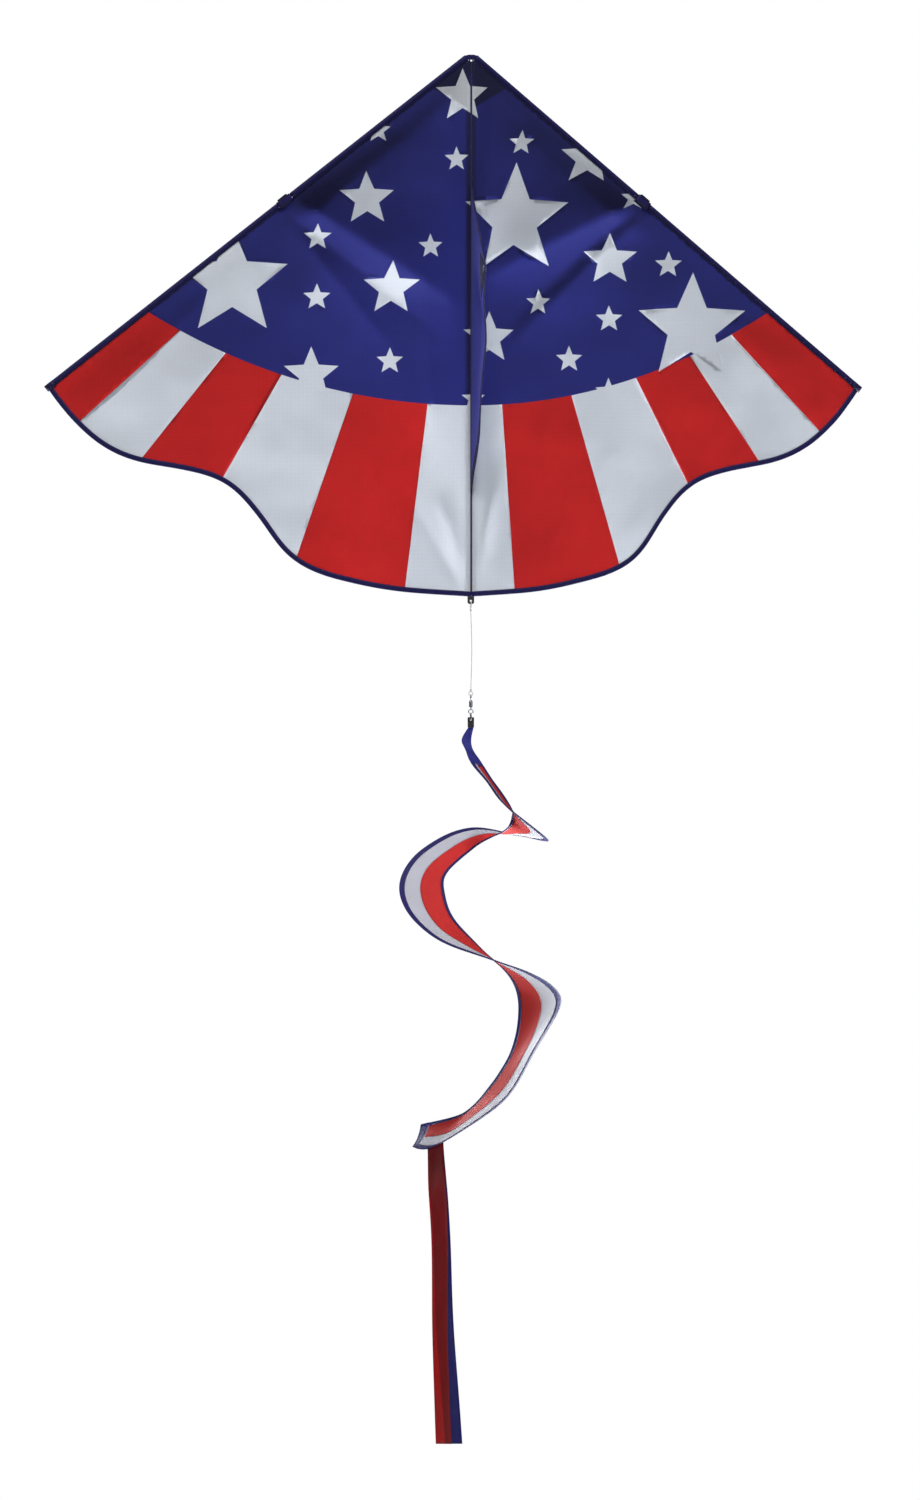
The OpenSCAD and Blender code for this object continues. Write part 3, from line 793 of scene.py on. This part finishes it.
def print_at(side, stars, point):
    """Which of the three colours is printed at a flat point."""
    if any(inside(point, s) for s in stars):
        return WHITE
    if (point - CANTON_CENTRE).length < CANTON_R:
        return BLUE
    passed = sum((low - top).cross(point - top) > 0 for top, low in map(stripe_line, STRIPES[side]))
    return (WHITE, RED)[passed % 2]


CLIP_SLOT = (7.4 * MM, 11.6 * MM, 9.5 * MM)     # inner jaw's slot: from and to inset, half length
CLOTH_EDGE = 7.5 * MM
BINDING_LAP = 1.0 * MM
SEAM_GAP = 1.5 * MM
NOSE_DROP = 1.2 * MM


def flat_outline():
    """The cloth's cut outline, from the top of the seam round by the tip."""
    top = [Vector((SEAM_GAP, -NOSE_DROP)), Vector((5 * MM, -1.6 * MM))]
    lead = [edge_point(s, CLOTH_EDGE) for s in steps(3 * MM, EDGE_LENGTH - 9 * MM, 6 * MM)]
    trail = [trailing_point(s, BINDING_LAP) for s in steps(9 * MM, TRAILING_LENGTH, 5 * MM)]
    seam = [Vector((SEAM_GAP, -s)) for s in steps(12 * MM, SEAM_LENGTH - 5 * MM, 7 * MM)]
    return top + lead + trail + seam[::-1]


def in_slot(p):
    """True if a flat point lies in the clip's slot."""
    near, far, half = CLIP_SLOT
    s = (p.x - NOSE_HALF) * SIN_E - p.y * COS_E
    return near < edge_inset(*p) < far and abs(s - CLIP_AT) < half


def box_of(points):
    xs, ys = [p.x for p in points], [p.y for p in points]
    return min(xs), max(xs), min(ys), max(ys)


def middle_of(points):
    return sum(points, Vector((0, 0))) / len(points)


def flat_mesh(outline, loops, lines, spacing, keep):
    """Triangles filling an outline, with edges along every loop and line, and a grid of points between."""
    points, edges = [], []
    for line, closed in [(p, True) for p in [outline] + loops] + [(p, False) for p in lines]:
        base, last = len(points), len(line) - 1
        points.extend(line)
        edges.extend((base + i, base + i + 1) for i in range(last))
        if closed:
            edges.append((base + last, base))
    x0, x1, y0, y1 = box_of(outline)
    row = spacing * math.sqrt(3) / 2
    for j in range(int((y1 - y0) / row) + 1):
        for i in range(int((x1 - x0) / spacing) + 1):
            p = Vector((x0 + (i + 0.5 * (j % 2)) * spacing, y0 + j * row))
            if keep(p, 0.25 * spacing):
                points.append(p)
    made, _, faces, *_ = delaunay_2d_cdt(points, edges, [], 0, 1e-7)
    kept = [face for face in faces if keep(middle_of([made[i] for i in face]), 0.0)]
    used = sorted({i for face in kept for i in face})
    number = {old: new for new, old in enumerate(used)}
    return [made[i] for i in used], [tuple(number[i] for i in face) for face in kept]


def sail(side):
    name = WINGS[side]
    stars = near_stars(side)
    boxed = [(*box_of(s), s) for s in stars]
    arc = [CANTON_CENTRE + CANTON_R * Vector((math.sin(a), -math.cos(a))) for a in steps(-0.01, 0.75, 0.012)]
    stripes = [stripe_line(line) for line in STRIPES[side]]
    near, far, half = CLIP_SLOT
    corners = ((-half, near), (half, near), (half, far), (-half, far))
    slot = [edge_point(CLIP_AT + s, inset) for s, inset in corners]

    def keep(p, margin):
        in_edge = p.x < 5 * MM or edge_inset(*p) > CLOTH_EDGE + margin
        return (p.x > SEAM_GAP + margin and in_edge and p.y < -NOSE_DROP
                and p.y > trailing_height(p.x) + BINDING_LAP + margin and not in_slot(p))

    flat, faces = flat_mesh(flat_outline(), stars + [slot], [arc] + stripes, 7 * MM, keep)
    picks = []
    for face in faces:
        middle = middle_of([flat[i] for i in face])
        near = [s for x0, x1, y0, y1, s in boxed if x0 < middle.x < x1 and y0 < middle.y < y1]
        picks.append(print_at(side, near, middle))
    return flat_piece(f"wing_cloth_{name}", flat, faces, lambda p: on_cloth(side, *p),
                      [SAIL_BLUE, SAIL_RED, SAIL_WHITE], f"{name}_wing", "sail_cloth", [f"sail_{name}"],
                      picks=picks, thick=CLOTH)


# ---------------- tapes on the wings' edges

def wing_piece(sweep, side, what, materials, stands_for=None, **more):
    """Makes a piece of a wing's edge. stands_for is the node that it replaces, without its side."""
    name = WINGS[side]
    nodes = [f"{stands_for}_{name}"] if stands_for else []
    return sweep.make(f"{what}_{name}", materials, f"{name}_wing", "navy_binding", nodes, **more)


def trailing_tape(side):
    sweep = Sweep()

    def over_edge(s, inset, back):
        p, q = trailing_point(s, inset), trailing_point(s, max(inset, 0.0))
        return wing_place(side, *p, lean(side, *q) + back)

    def at(s, face):
        p = trailing_point(s, 5.9 * MM)
        return on_cloth(side, *p, face * 0.76 * MM), face * wing_back(side)
    sweep.bind(steps(2 * MM, TRAILING_LENGTH - 0.6 * MM, 4 * MM), over_edge)
    sweep.sew(at, 6 * MM, TRAILING_LENGTH - 4 * MM)
    return wing_piece(sweep, side, "hem_tape", TAPED, "trailing_binding")


SPAR_INSET = 3.75 * MM
POCKET_R = 3.75 * MM
POCKET_WALL = 0.22 * MM
POCKET_TAIL = [(8.8, 0.5), (8.3, 0.6), (7.7, 0.95)]       # the sewn lap, as (inset, back) in millimetres
WINDOW = 13.0 * MM
CLIP_FLAP = [(12.6, -0.55), (11.6, -1.6), (10.2, -3.6), (9.0, -4.45), (6.5, -4.5), (3.8, -4.5), (1.0, -4.45),
             (-0.3, -4.3)]       # in front of the clip, as (inset, back) in millimetres


def pocket_ring(side, s, size=1.0):
    """The pocket's cross-section: front lap, round the spar, back lap."""
    lap = [(inset * MM, back * MM * size) for inset, back in POCKET_TAIL]
    round_spar = [(SPAR_INSET + POCKET_R * math.cos(w), POCKET_R * size * math.sin(w))
                  for w in map(math.radians, steps(50, 310, 15))]
    ring = []
    for inset, back in lap + round_spar + [(inset, -back) for inset, back in lap[::-1]]:
        p = edge_point(s, inset)
        ring.append(wing_place(side, *p, lean(side, *p) * smooth(inset, 6 * MM, 9 * MM) + back))
    return ring


def pocket(side):
    sweep = Sweep()
    nose = [(1.2 * MM, 0.2), (1.8 * MM, 0.62), (2.8 * MM, 0.88), (4.4 * MM, 1.0)]
    upper = [pocket_ring(side, s, size) for s, size in nose]
    upper += [pocket_ring(side, s) for s in steps(8 * MM, CLIP_AT - WINDOW, 6 * MM)]
    lower = [pocket_ring(side, s) for s in steps(CLIP_AT + WINDOW, EDGE_LENGTH - 9 * MM, 6 * MM)]
    sweep.rings(upper, closed=False)
    sweep.rings(lower, closed=False)
    sweep.wrap(steps(CLIP_AT - WINDOW + 1 * MM, CLIP_AT + WINDOW - 1 * MM, 4 * MM),
               lambda s, inset, back: wing_place(side, *edge_point(s, inset), back), CLIP_FLAP, closed=False)
    return wing_piece(sweep, side, "edge_sleeve", [NAVY_TAPE], "leading_pocket",
                      thick=POCKET_WALL, offset=-1.0)


def pocket_stitching(side):
    """A zigzag over the lap's edge on each face."""
    sweep = Sweep()
    rows = [(8 * MM, CLIP_AT - WINDOW - 2 * MM), (CLIP_AT + WINDOW + 2 * MM, EDGE_LENGTH - 14 * MM)]
    for face in (-1, 1):
        def over_lap(s, across):
            p = edge_point(s, 8.5 * MM + 0.7 * across)
            lift = 0.7 if across < 0 else 0.35
            return on_cloth(side, *p, face * lift * MM), face * wing_back(side)
        for start, stop in rows:
            sweep.stitches(zigzag_run(over_lap, start, stop))
    return wing_piece(sweep, side, "edge_stitching", [NAVY_THREAD])


# the tab's rings past the tip: place along the edge in millimetres, and share of its thickness
TIP_TAB = [(-13.0, 1.0), (-9.0, 1.05), (-4.0, 1.05), (-1.0, 1.0), (1.2, 0.8), (2.4, 0.4), (3.0, 0.1)]


def tip_tab(side):
    """A square of tape folded over the wing tip, which closes the sleeve's end and holds the spar in."""
    sweep = Sweep()
    rings = []
    for s, size in TIP_TAB:
        ring = []
        for w in round_turn(12):
            reach = 5.4 * MM if math.cos(w) > 0 else 4.9 * MM
            p = edge_point(EDGE_LENGTH + s * MM, 4.6 * MM + reach * math.cos(w))
            ring.append(wing_place(side, *p, 4.0 * MM * size * math.sin(w)))
        rings.append(ring)
    sweep.rings(rings)
    return wing_piece(sweep, side, "tip_tab", [NAVY_WEB])


def nose_tape(side):
    """Binding folded over the blunt top of the cloth, from the seam to the sleeve."""
    sweep = Sweep()

    def over_edge(r, inset, back):
        return wing_place(side, r, -1.6 * MM * smooth(r, 3 * MM, 11 * MM) - inset, back)

    def at(s, face):
        return wing_place(side, s, -6.2 * MM, face * 0.78 * MM), face * wing_back(side)
    sweep.bind(steps(0.15 * MM, 9.6 * MM, 1.2 * MM), over_edge)
    sweep.sew(at, 0.8 * MM, 7 * MM, stitch=2.2 * MM, gap=0.7 * MM)
    return wing_piece(sweep, side, "nose_tape", TAPED)


def nose_web(side):
    """The webbing patch behind the nose, with a row of stitching round it."""
    name = WINGS[side]
    lap = 6 * MM
    corners = [Vector((lap, -79 * MM)), Vector((lap, -10.5 * MM)), edge_point(22 * MM, 8.6 * MM),
               edge_point(70 * MM, 8.6 * MM)]
    sides = zip(corners, corners[1:] + corners[:1])
    outline = [a.lerp(b, share) for a, b in sides for share in steps(0, 0.9, 0.1)]
    flat, faces = flat_mesh(outline, [], [], 4 * MM, lambda p, margin: inside(p, outline))
    patch, _ = flat_piece(f"nose_web_{name}", flat, faces, lambda p: on_cloth(side, *p, 0.7 * MM),
                          [NAVY_WEB], f"{name}_wing", "navy_binding", [f"nose_patch_{name}"], thick=0.7 * MM)
    sweep = Sweep()
    row = [middle_of(corners).lerp(p, 0.86) for p in corners]
    for a, b in zip(row, row[1:] + row[:1]):
        def at(s):
            p = a.lerp(b, s / (b - a).length)
            return on_cloth(side, *p, 1.1 * MM), wing_back(side)
        sweep.stitches(straight_run(at, 0.5 * MM, (b - a).length))
    return [patch, wing_piece(sweep, side, "nose_stitching", [NAVY_THREAD])]


def wing(side):
    cloth_piece, area = sail(side)
    edges = [make(side) for make in (trailing_tape, pocket, pocket_stitching, nose_tape, tip_tab)]
    edges + nose_web(side)


for wing_side in WINGS:
    wing(wing_side)


# ---------------- the spine's sleeve

def spine_sleeve():
    """The folded tape between the seam and the spine, with its stitching on both sides."""
    low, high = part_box("spine_pocket")
    radius = (high.x - low.x) / 2
    seam_side = [(0.5, 0.9), (0.35, 0.35), (-0.35, 0.35), (-0.5, 0.9)]     # from the seam, in millimetres
    fold = [(x * MM, SEAM_Y + y * MM) for x, y in seam_side]
    fold += [(radius * math.cos(w), SPINE_Y + radius * math.sin(w)) for w in map(math.radians, (240, -60))]
    sweep = Sweep()
    rings = []
    for z in steps(low.z, high.z, 9 * MM):
        wander = 0.12 * MM * noise.noise(Vector((0.3, 0.7, z * 40)))
        rings.append([Vector((wander + x, y, z)) for x, y in fold])
    sweep.rings(rings, caps=False)

    def at(s, face):
        return Vector((face * 0.62 * MM, SEAM_Y + 0.8 * MM, low.z + s)), Vector((face, 0, 0))
    sweep.sew(at, 2 * MM, high.z - low.z - 2 * MM, THREAD_R * 0.8)
    return sweep.make("spine_sleeve", TAPED, "spine", "navy_binding", ["spine_pocket"])


spine_sleeve()


# ---------------- the keel

KEEL_REAR = SEAM_Y - 0.4 * MM
TAPE_REAR = KEEL_REAR - 2.2 * MM
NOSE_FLAT = 9 * MM
KEEL = [Vector((KEEL_REAR, KEEL_TOP)), Vector((KEEL_FRONT, NOSE_FLAT)), Vector((KEEL_FRONT, -NOSE_FLAT)),
        Vector((KEEL_REAR, KEEL_LOW))]
EYELET_HOLE = 3.6 * MM


def left_of(along):
    return Vector((-along.y, along.x))


def keel_inset(p):
    """How far a point of the keel lies inside its free edges."""
    return min((p - a).dot(left_of((b - a).normalized())) for a, b in zip(KEEL, KEEL[1:]))


def keel_bow(y, z):
    """How far the keel's cloth lies to one side of its flat plane."""
    ahead = (SEAM_Y - y) / (SEAM_Y - KEEL_FRONT)
    free = 4 * ahead * (1 - ahead)
    lower = smooth(-z, 20 * MM, 160 * MM)
    bow = 2.6 * MM * lower * free * math.sin(1.4 + z * 16)
    bow += 1.2 * MM * free * noise.noise(Vector((y * 18, z * 14, 2.0)))
    slack = smooth(math.hypot(y, z), 30 * MM, 120 * MM) * smooth(-z, -20 * MM, 60 * MM)
    return bow + 8.5 * MM * slack * smooth(SEAM_Y - y, 0, 48 * MM)


def keel_place(p, out=0.0):
    return Vector((keel_bow(*p) + out, p.x, p.y))


def keel_panel():
    outline = []
    for a, b in zip(KEEL, KEEL[1:] + KEEL[:1]):
        outline += [a.lerp(b, t) for t in steps(0, 1, 6 * MM / (b - a).length)[:-1]]
    hole = [EYELET_HOLE * Vector((math.cos(w), math.sin(w))) for w in round_turn(24)]

    def keep(p, margin):
        return keel_inset(p) > margin and p.x < KEEL_REAR - margin and p.length > EYELET_HOLE + margin
    flat, faces = flat_mesh(outline, [hole], [], 6 * MM, keep)
    # the keel's cloth uses the lighter blue with painted light on it
    return flat_piece("keel_cloth", flat, faces, keel_place, [KEEL_PAINTED_LIT_BLUE], "keel", "keel_cloth",
                      ["keel_panel"], thick=CLOTH)


def keel_tape(name, corners, node):
    """Binding folded over one of the keel's free edges, and its stitching on both faces."""
    line = resampled(rounded(corners, 6 * MM), 3 * MM)
    total = running(line)
    sweep = Sweep()

    def heading(i):
        return (line[min(i + 1, len(line) - 1)] - line[max(i - 1, 0)]).normalized()

    def over_edge(i, inset, out):
        p = line[i] + inset * left_of(heading(i))
        p.x = min(p.x, TAPE_REAR)
        return keel_place(p, out)

    def at(s, face):
        i = min(range(len(total)), key=lambda k: abs(total[k] - s))
        p = line[i] + 5.9 * MM * left_of(heading(i)) + (s - total[i]) * heading(i)
        return keel_place(p, face * 0.78 * MM), Vector((face, 0, 0))
    sweep.bind(range(len(line)), over_edge)
    sweep.sew(at, 3 * MM, total[-1] - 3 * MM)
    return sweep.make(name, TAPED, "keel", "navy_binding", [node])


PATCH = [Vector(p) * MM for p in ((-3.5, 8), (44, 25), (31, -45), (-3.5, -8))]
PATCH_MIDDLE = Vector((14 * MM, -4 * MM))
# the patch's rings from its edge inwards, as (growth, height off the cloth) in millimetres
PATCH_RINGS = [(-0.4, 0.2), (0.0, 0.5), (-0.1, 0.85), (-0.8, 1.05), (-2.5, 1.08)]


def tow_patch(face):
    """Reinforcing cloth on one face of the keel round the eyelet, with two rows of stitching."""
    corners = rounded(PATCH, 4 * MM, closed=True)
    outline = resampled(corners + corners[:1], 2 * MM)[:-1]
    sweep = Sweep()

    def grown(grow):
        return [p + grow * MM * (p - PATCH_MIDDLE).normalized() for p in outline]
    rings = [[keel_place(p, face * out * MM) for p in grown(grow)] for grow, out in PATCH_RINGS]
    rings.append([keel_place(EYELET_HOLE * p.normalized(), face * 1.05 * MM) for p in outline])
    sweep.rings(rings, caps=False)
    for grow in (-1.8, -4.6):
        line = grown(grow)
        line.append(line[0])
        total = running(line)

        def at(s):
            return keel_place(point_along(line, total, s), face * 1.1 * MM), Vector((face, 0, 0))
        sweep.stitches(straight_run(at, 0, total[-1]), pick=1)
    side = "left" if face < 0 else "right"
    return sweep.make(f"tow_patch_{side}", [NAVY_WEB, NAVY_THREAD], "keel", "navy_binding", ["tow_patches"])


def keel():
    panel, area = keel_panel()
    edges = [keel_tape("keel_tape_upper", KEEL[:2], "keel_binding_upper"),
             keel_tape("keel_tape_lower", KEEL[1:], "keel_binding_lower"), tow_patch(-1), tow_patch(1)]


keel()


# ---------------- the spiral tail

SPIRAL_TOP = 1000 * (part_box("spiral_head")[0].z - 0.05 * MM)
# both edges of the strip, as in the design: degrees round the axis, radius and height, top to end
SPIRAL_OUTER = [
    [-200, 4, SPIRAL_TOP], [-175, 14, -697], [-125, 13, -718], [-65, 29, -750], [-28, 55, -794],
    [0, 116, -845], [45, 111, -838], [85, 112, -828], [125, 112, -860], [180, 111, -928],
    [232, 113, -992], [280, 114, -1026], [325, 117, -1056], [360, 125, -1089], [392, 118, -1149],
    [425, 116, -1236], [478, 110, -1300], [514, 106, -1301],
]
SPIRAL_INNER = [
    [-20, 4, SPIRAL_TOP], [-90, 4, -699], [-45, 18, -728], [-20, 30, -752], [0, 58.8, -794], [12, 64, -812],
    [22, 60, -829], [65, 56, -848], [115, 54, -884], [180, 43.5, -926], [235, 52, -972],
    [280, 54, -1015], [325, 58, -1054], [360, 61, -1098], [392, 64, -1158], [424, 62, -1207],
    [462, 66, -1250], [516, 92, -1268],
]
SPIRAL_DRIFT = 0.028
LAST_ROW = len(SPIRAL_OUTER) - 1
NECK_ROWS = 2.4
HEM_ROW = 16.7
OUTER_BINDING = 8 * MM
INNER_BINDING = 4.5 * MM


def round_axis(row):
    degrees, radius, z = row
    w = math.radians(degrees)
    return Vector((SPIRAL_DRIFT * max(degrees, 0) + radius * math.cos(w),
                   SPINE_Y / MM + radius * math.sin(w), z)) * MM


def strip_ends(t):
    return round_axis(catmull(SPIRAL_OUTER, t)), round_axis(catmull(SPIRAL_INNER, t))


def strip_out(t):
    """The direction out of the strip's face."""
    outer, inner = strip_ends(t)
    ahead, behind = strip_ends(min(t + 0.05, LAST_ROW)), strip_ends(max(t - 0.05, 0))
    return (inner - outer).cross(ahead[0] + ahead[1] - behind[0] - behind[1]).normalized()


def strip_width(t):
    outer, inner = strip_ends(t)
    return (inner - outer).length


def strip_point(t, inset, out=0.0):
    """A point of the strip, inset from its outer edge in metres."""
    outer, inner = strip_ends(t)
    share = inset / strip_width(t)
    belly = 2.4 * MM * math.sin(math.pi * min(max(share, 0), 1)) * smooth(t, 2, 5)
    ripple = 0.9 * MM * noise.noise(Vector((t * 1.7, share * 2.0, 4.0))) * smooth(t, 1, 4)
    return outer + share * (inner - outer) + (out + belly + ripple) * strip_out(t)


def outer_seam(t):
    return min(OUTER_BINDING, 0.3 * strip_width(t))


def inner_seam(t):
    return strip_width(t) - min(INNER_BINDING, 0.2 * strip_width(t))


def middle_seam(t):
    return 0.47 * strip_width(t)


def strip_panel(name, t0, t1, start, stop, material, slot, node):
    """One panel of the strip, between two seams, with its flat width, length and area."""
    sweep = Sweep()
    shares = steps(0, 1, 1 / 12)
    rings = []
    for t in steps(t0, t1, 0.035):
        a, b = start(t), stop(t)
        rings.append([strip_point(t, a + (b - a) * share) for share in shares])
    sweep.rings(rings, closed=False)
    panel = sweep.make(name, [material], "spinner", slot, [node], thick=CLOTH)
    total = running([r[len(shares) // 2] for r in rings])
    widths = [(r[-1] - r[0]).length for r in rings]
    area = sum((v + w) / 2 * (b - a) for v, w, a, b in zip(widths, widths[1:], total, total[1:]))
    return panel, max(widths), max(total[-1], 10.5 * MM), area


def sew_strip(sweep, line, at, **more):
    """A row of stitches along the strip, measured on line(t). at(t, face) gives a point of it."""
    rows = steps(NECK_ROWS, HEM_ROW, 0.02)
    total = running([line(t) for t in rows])

    def along(s, face):
        i, share = locate(total, s)
        t = rows[i - 1] + (rows[i] - rows[i - 1]) * share
        return at(t, face), face * strip_out(t)
    sweep.sew(along, 3 * MM, total[-1] - 3 * MM, **more)


def strip_tape(name, reach, at_outer, node):
    """Binding folded over one edge of the strip, reach(t) wide, with stitching on both faces."""
    sweep = Sweep()

    def over_edge(t, inset, out):
        inset *= reach(t) / (7.5 * MM)
        return strip_point(t, inset if at_outer else strip_width(t) - inset, out * 1.1)

    def at(t, face):
        inset = 0.78 * reach(t)
        return strip_point(t, inset if at_outer else strip_width(t) - inset, face * 0.86 * MM)
    sweep.bind(steps(NECK_ROWS, HEM_ROW, 0.05), over_edge)
    sew_strip(sweep, lambda t: strip_ends(t)[0 if at_outer else 1], at)
    return sweep.make(name, STRIP_TAPED, "spinner", "navy_binding", [node])


def middle_stitching():
    """The two rows that join the white panel to the red one."""
    sweep = Sweep()
    for pick, shift in enumerate((-1.2 * MM, 1.2 * MM)):
        sew_strip(sweep, lambda t: strip_point(t, middle_seam(t)),
                  lambda t, face: strip_point(t, middle_seam(t) + shift, face * 0.3 * MM),
                  radius=THREAD_R * 0.8, pick=pick)
    return sweep.make("strip_seam_stitching", [SPIRAL_WHITE, SPIRAL_RED], "spinner", "white_cloth")


def end_hem():
    sweep = Sweep()
    rings = []
    across = steps(0, 1, 0.1)
    for t in steps(HEM_ROW, LAST_ROW, 0.03):
        thick = 0.85 * MM * (1 - smooth(t, LAST_ROW - 0.05, LAST_ROW + 0.02) * 0.6)
        rings.append([strip_point(t, strip_width(t) * share, thick) for share in across]
                     + [strip_point(t, strip_width(t) * share, -thick) for share in across[::-1]])
    sweep.rings(rings)

    def at(s, face):
        t = HEM_ROW + 0.06
        return strip_point(t, s, face * 0.9 * MM), face * strip_out(t)
    sweep.sew(at, 3 * MM, strip_width(HEM_ROW) - 3 * MM)
    return sweep.make("strip_end_hem", STRIP_TAPED, "spinner", "navy_binding", ["spiral_end_hem"])


def spiral():
    under_hem = HEM_ROW + 0.05
    neck = strip_panel("strip_neck", 0.0, NECK_ROWS + 0.1, lambda t: 0.0, strip_width, SPIRAL_NAVY,
                       "navy_binding", "spiral_neck")
    white = strip_panel("strip_white", NECK_ROWS, under_hem, outer_seam, middle_seam, SPIRAL_WHITE,
                        "white_cloth", "spiral_white_strip")
    red = strip_panel("strip_red", NECK_ROWS, under_hem, middle_seam, inner_seam, SPIRAL_RED,
                      "red_cloth", "spiral_red_strip")
    outer = strip_tape("strip_tape_outer", outer_seam, True, "spiral_outer_binding")
    inner = strip_tape("strip_tape_inner", lambda t: strip_width(t) - inner_seam(t), False,
                       "spiral_inner_binding")
    hem = end_hem()
    sewn = {"gathered": [(neck, [])], "hung": [(white, [outer, hem, middle_stitching()]), (red, [inner])]}
    for held, panels in sewn.items():
        for (panel, width, length, area), pieces in panels:
            min(area, width * length)
            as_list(pieces)


spiral()


# ---------------- streamers

RIBBON_W = 26 * MM
RIBBON_X = -40 * MM


def sewn_at(x, out):
    """The place on the spiral's lower edge that lies over x, a little in front of it."""
    near = min((strip_point(t, 0.4 * MM) for t in steps(15.4, LAST_ROW, 0.02)), key=lambda p: abs(p.x - x))
    return near + Vector((0, -out, 0))


def streamer(colour, lean_x, turned, out, material):
    low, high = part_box(f"streamer_{colour}")
    y = (low.y + high.y) / 2
    sweep = Sweep()
    rings = []
    spread = [share * RIBBON_W for share in steps(-0.5, 0.5, 1 / 6)]
    tops = [sewn_at(RIBBON_X + w, out) for w in spread]
    for share in steps(0, 1, 1 / 90):
        free = smooth(share, 0, 0.16)
        sway = 1.6 * MM * math.sin(share * 7.0 + turned) * smooth(share, 0, 0.2)
        wave = 2.6 * MM * math.sin(share * 13.0 + 0.6) * free
        turn = (turned + 0.12 * math.sin(share * 5.0 + 1.1)) * smooth(share, 0.02, 0.3)
        centre = RIBBON_X + lean_x * share + sway
        ring = []
        for w, top in zip(spread, tops):
            cup = 0.9 * MM * math.cos(w / RIBBON_W * math.pi) * math.sin(share * 19.0) * free
            hung_y = y + wave + cup + w * math.sin(turn)
            ring.append(Vector((centre + w * math.cos(turn), top.y + (hung_y - top.y) * free,
                                top.z + (low.z - top.z) * share)))
        rings.append(ring)
    sweep.rings(rings, closed=False)
    ribbon = sweep.make(f"ribbon_{colour}", [material], f"{colour}_streamer", f"{colour}_ribbon",
                        [f"streamer_{colour}"], thick=0.25 * MM)


streamer("red", 12 * MM, -0.55, 2.6 * MM, RED_RIBBON)
streamer("blue", 27 * MM, 0.08, 1.4 * MM, BLUE_RIBBON)


# ---------------- finishes on the pieces kept from the frame

def finish_nodes():
    rods = {"spine_rod": (0, 0, 1), "spreader_rod": (1, 0, 0)}
    for side, name in WINGS.items():
        rods[f"leading_spar_{name}"] = wing_place(side, SIN_E, -COS_E) - wing_place(side, 0, 0)
    kept = {
        BLACK_VINYL: ["spar_end_caps_left", "spar_end_caps_right", "spar_sleeve_left", "spar_sleeve_right",
                      "spine_top_cap", "spine_end_cap"],
        BLACK_NYLON: ["spreader_clip_left", "spreader_clip_right", "spiral_head"],
        NICKEL: ["tow_eyelet", "tow_eyelet_washer"],
        STEEL: ["swivel_upper_eye", "swivel_barrel", "swivel_lower_eye", "split_ring"],
    }
    for node, along in rods.items():
        kept[pultruded(f"fibre_{node}", "26262a", along)] = [node]
    for material, nodes in kept.items():
        for node in nodes:
            mesh = frame["nodes"][node].data
            mesh.materials.clear()
            mesh.materials.append(material)


finish_nodes()


# ---------------- light and floor

def area_light(name, place, target, size, power, colour, spread=180):
    data = bpy.data.lights.new(name, "AREA")
    data.shape = "DISK"
    data.size = size
    data.energy = power
    data.color = colour
    data.spread = math.radians(spread)
    aim(placed(name, data), Vector(place), Vector(target))


WARM, COOL = (1.0, 0.98, 0.95), (0.95, 0.97, 1.0)


def studio():
    area_light("key", (-1.3, -4.6, 8.9), (0, 0.1, -0.3), 1.6, 960, WARM)
    area_light("fill", (1.2, -3.4, -0.8), (0, 0.1, -0.5), 2.0, 30, COOL)
    for x, power in ((-1.05, 21), (1.05, 34)):
        area_light("back", (x, 0.9, -1.8), (x * 0.4, 0.15, -0.2), 0.8, power, COOL, spread=84)
    t = Tree(bpy.data.worlds.new("studio"))
    bpy.context.scene.world = t.owner
    lighting = t.add("Background", {"Color": (0.14, 0.143, 0.15, 1.0)}).outputs[0]
    seen = t.add("Background", {"Color": (1.0, 1.0, 1.0, 1.0)}).outputs[0]
    from_camera = t.add("LightPath").outputs["Is Camera Ray"]
    t.add("OutputWorld", {"Surface": t.both(from_camera, lighting, seen)})


def floor():
    radius, below = 1.6, 0.2
    t = material_tree("floor_paint")
    mottle = t.noise(t.add("TexCoord").outputs["Object"], 6.0, 4.0)
    paint = t.mix(mottle, (0.86, 0.86, 0.86, 1), (0.9, 0.9, 0.9, 1))
    body = t.add("BsdfPrincipled", {"Base Color": paint, "Roughness": 0.85}).outputs[0]
    mesh = bpy.data.meshes.new("floor")
    rim = circle(Vector((0, SEAM_Y, cad_low.z - below)), radius, Vector((1, 0, 0)), Vector((0, 1, 0)), 96)
    mesh.from_pydata([tuple(p) for p in rim], [], [tuple(range(len(rim)))])
    mesh.materials.append(t.surface(body))
    placed("floor", mesh)


studio()
floor()
bpy.context.scene.view_settings.view_transform = "Standard"
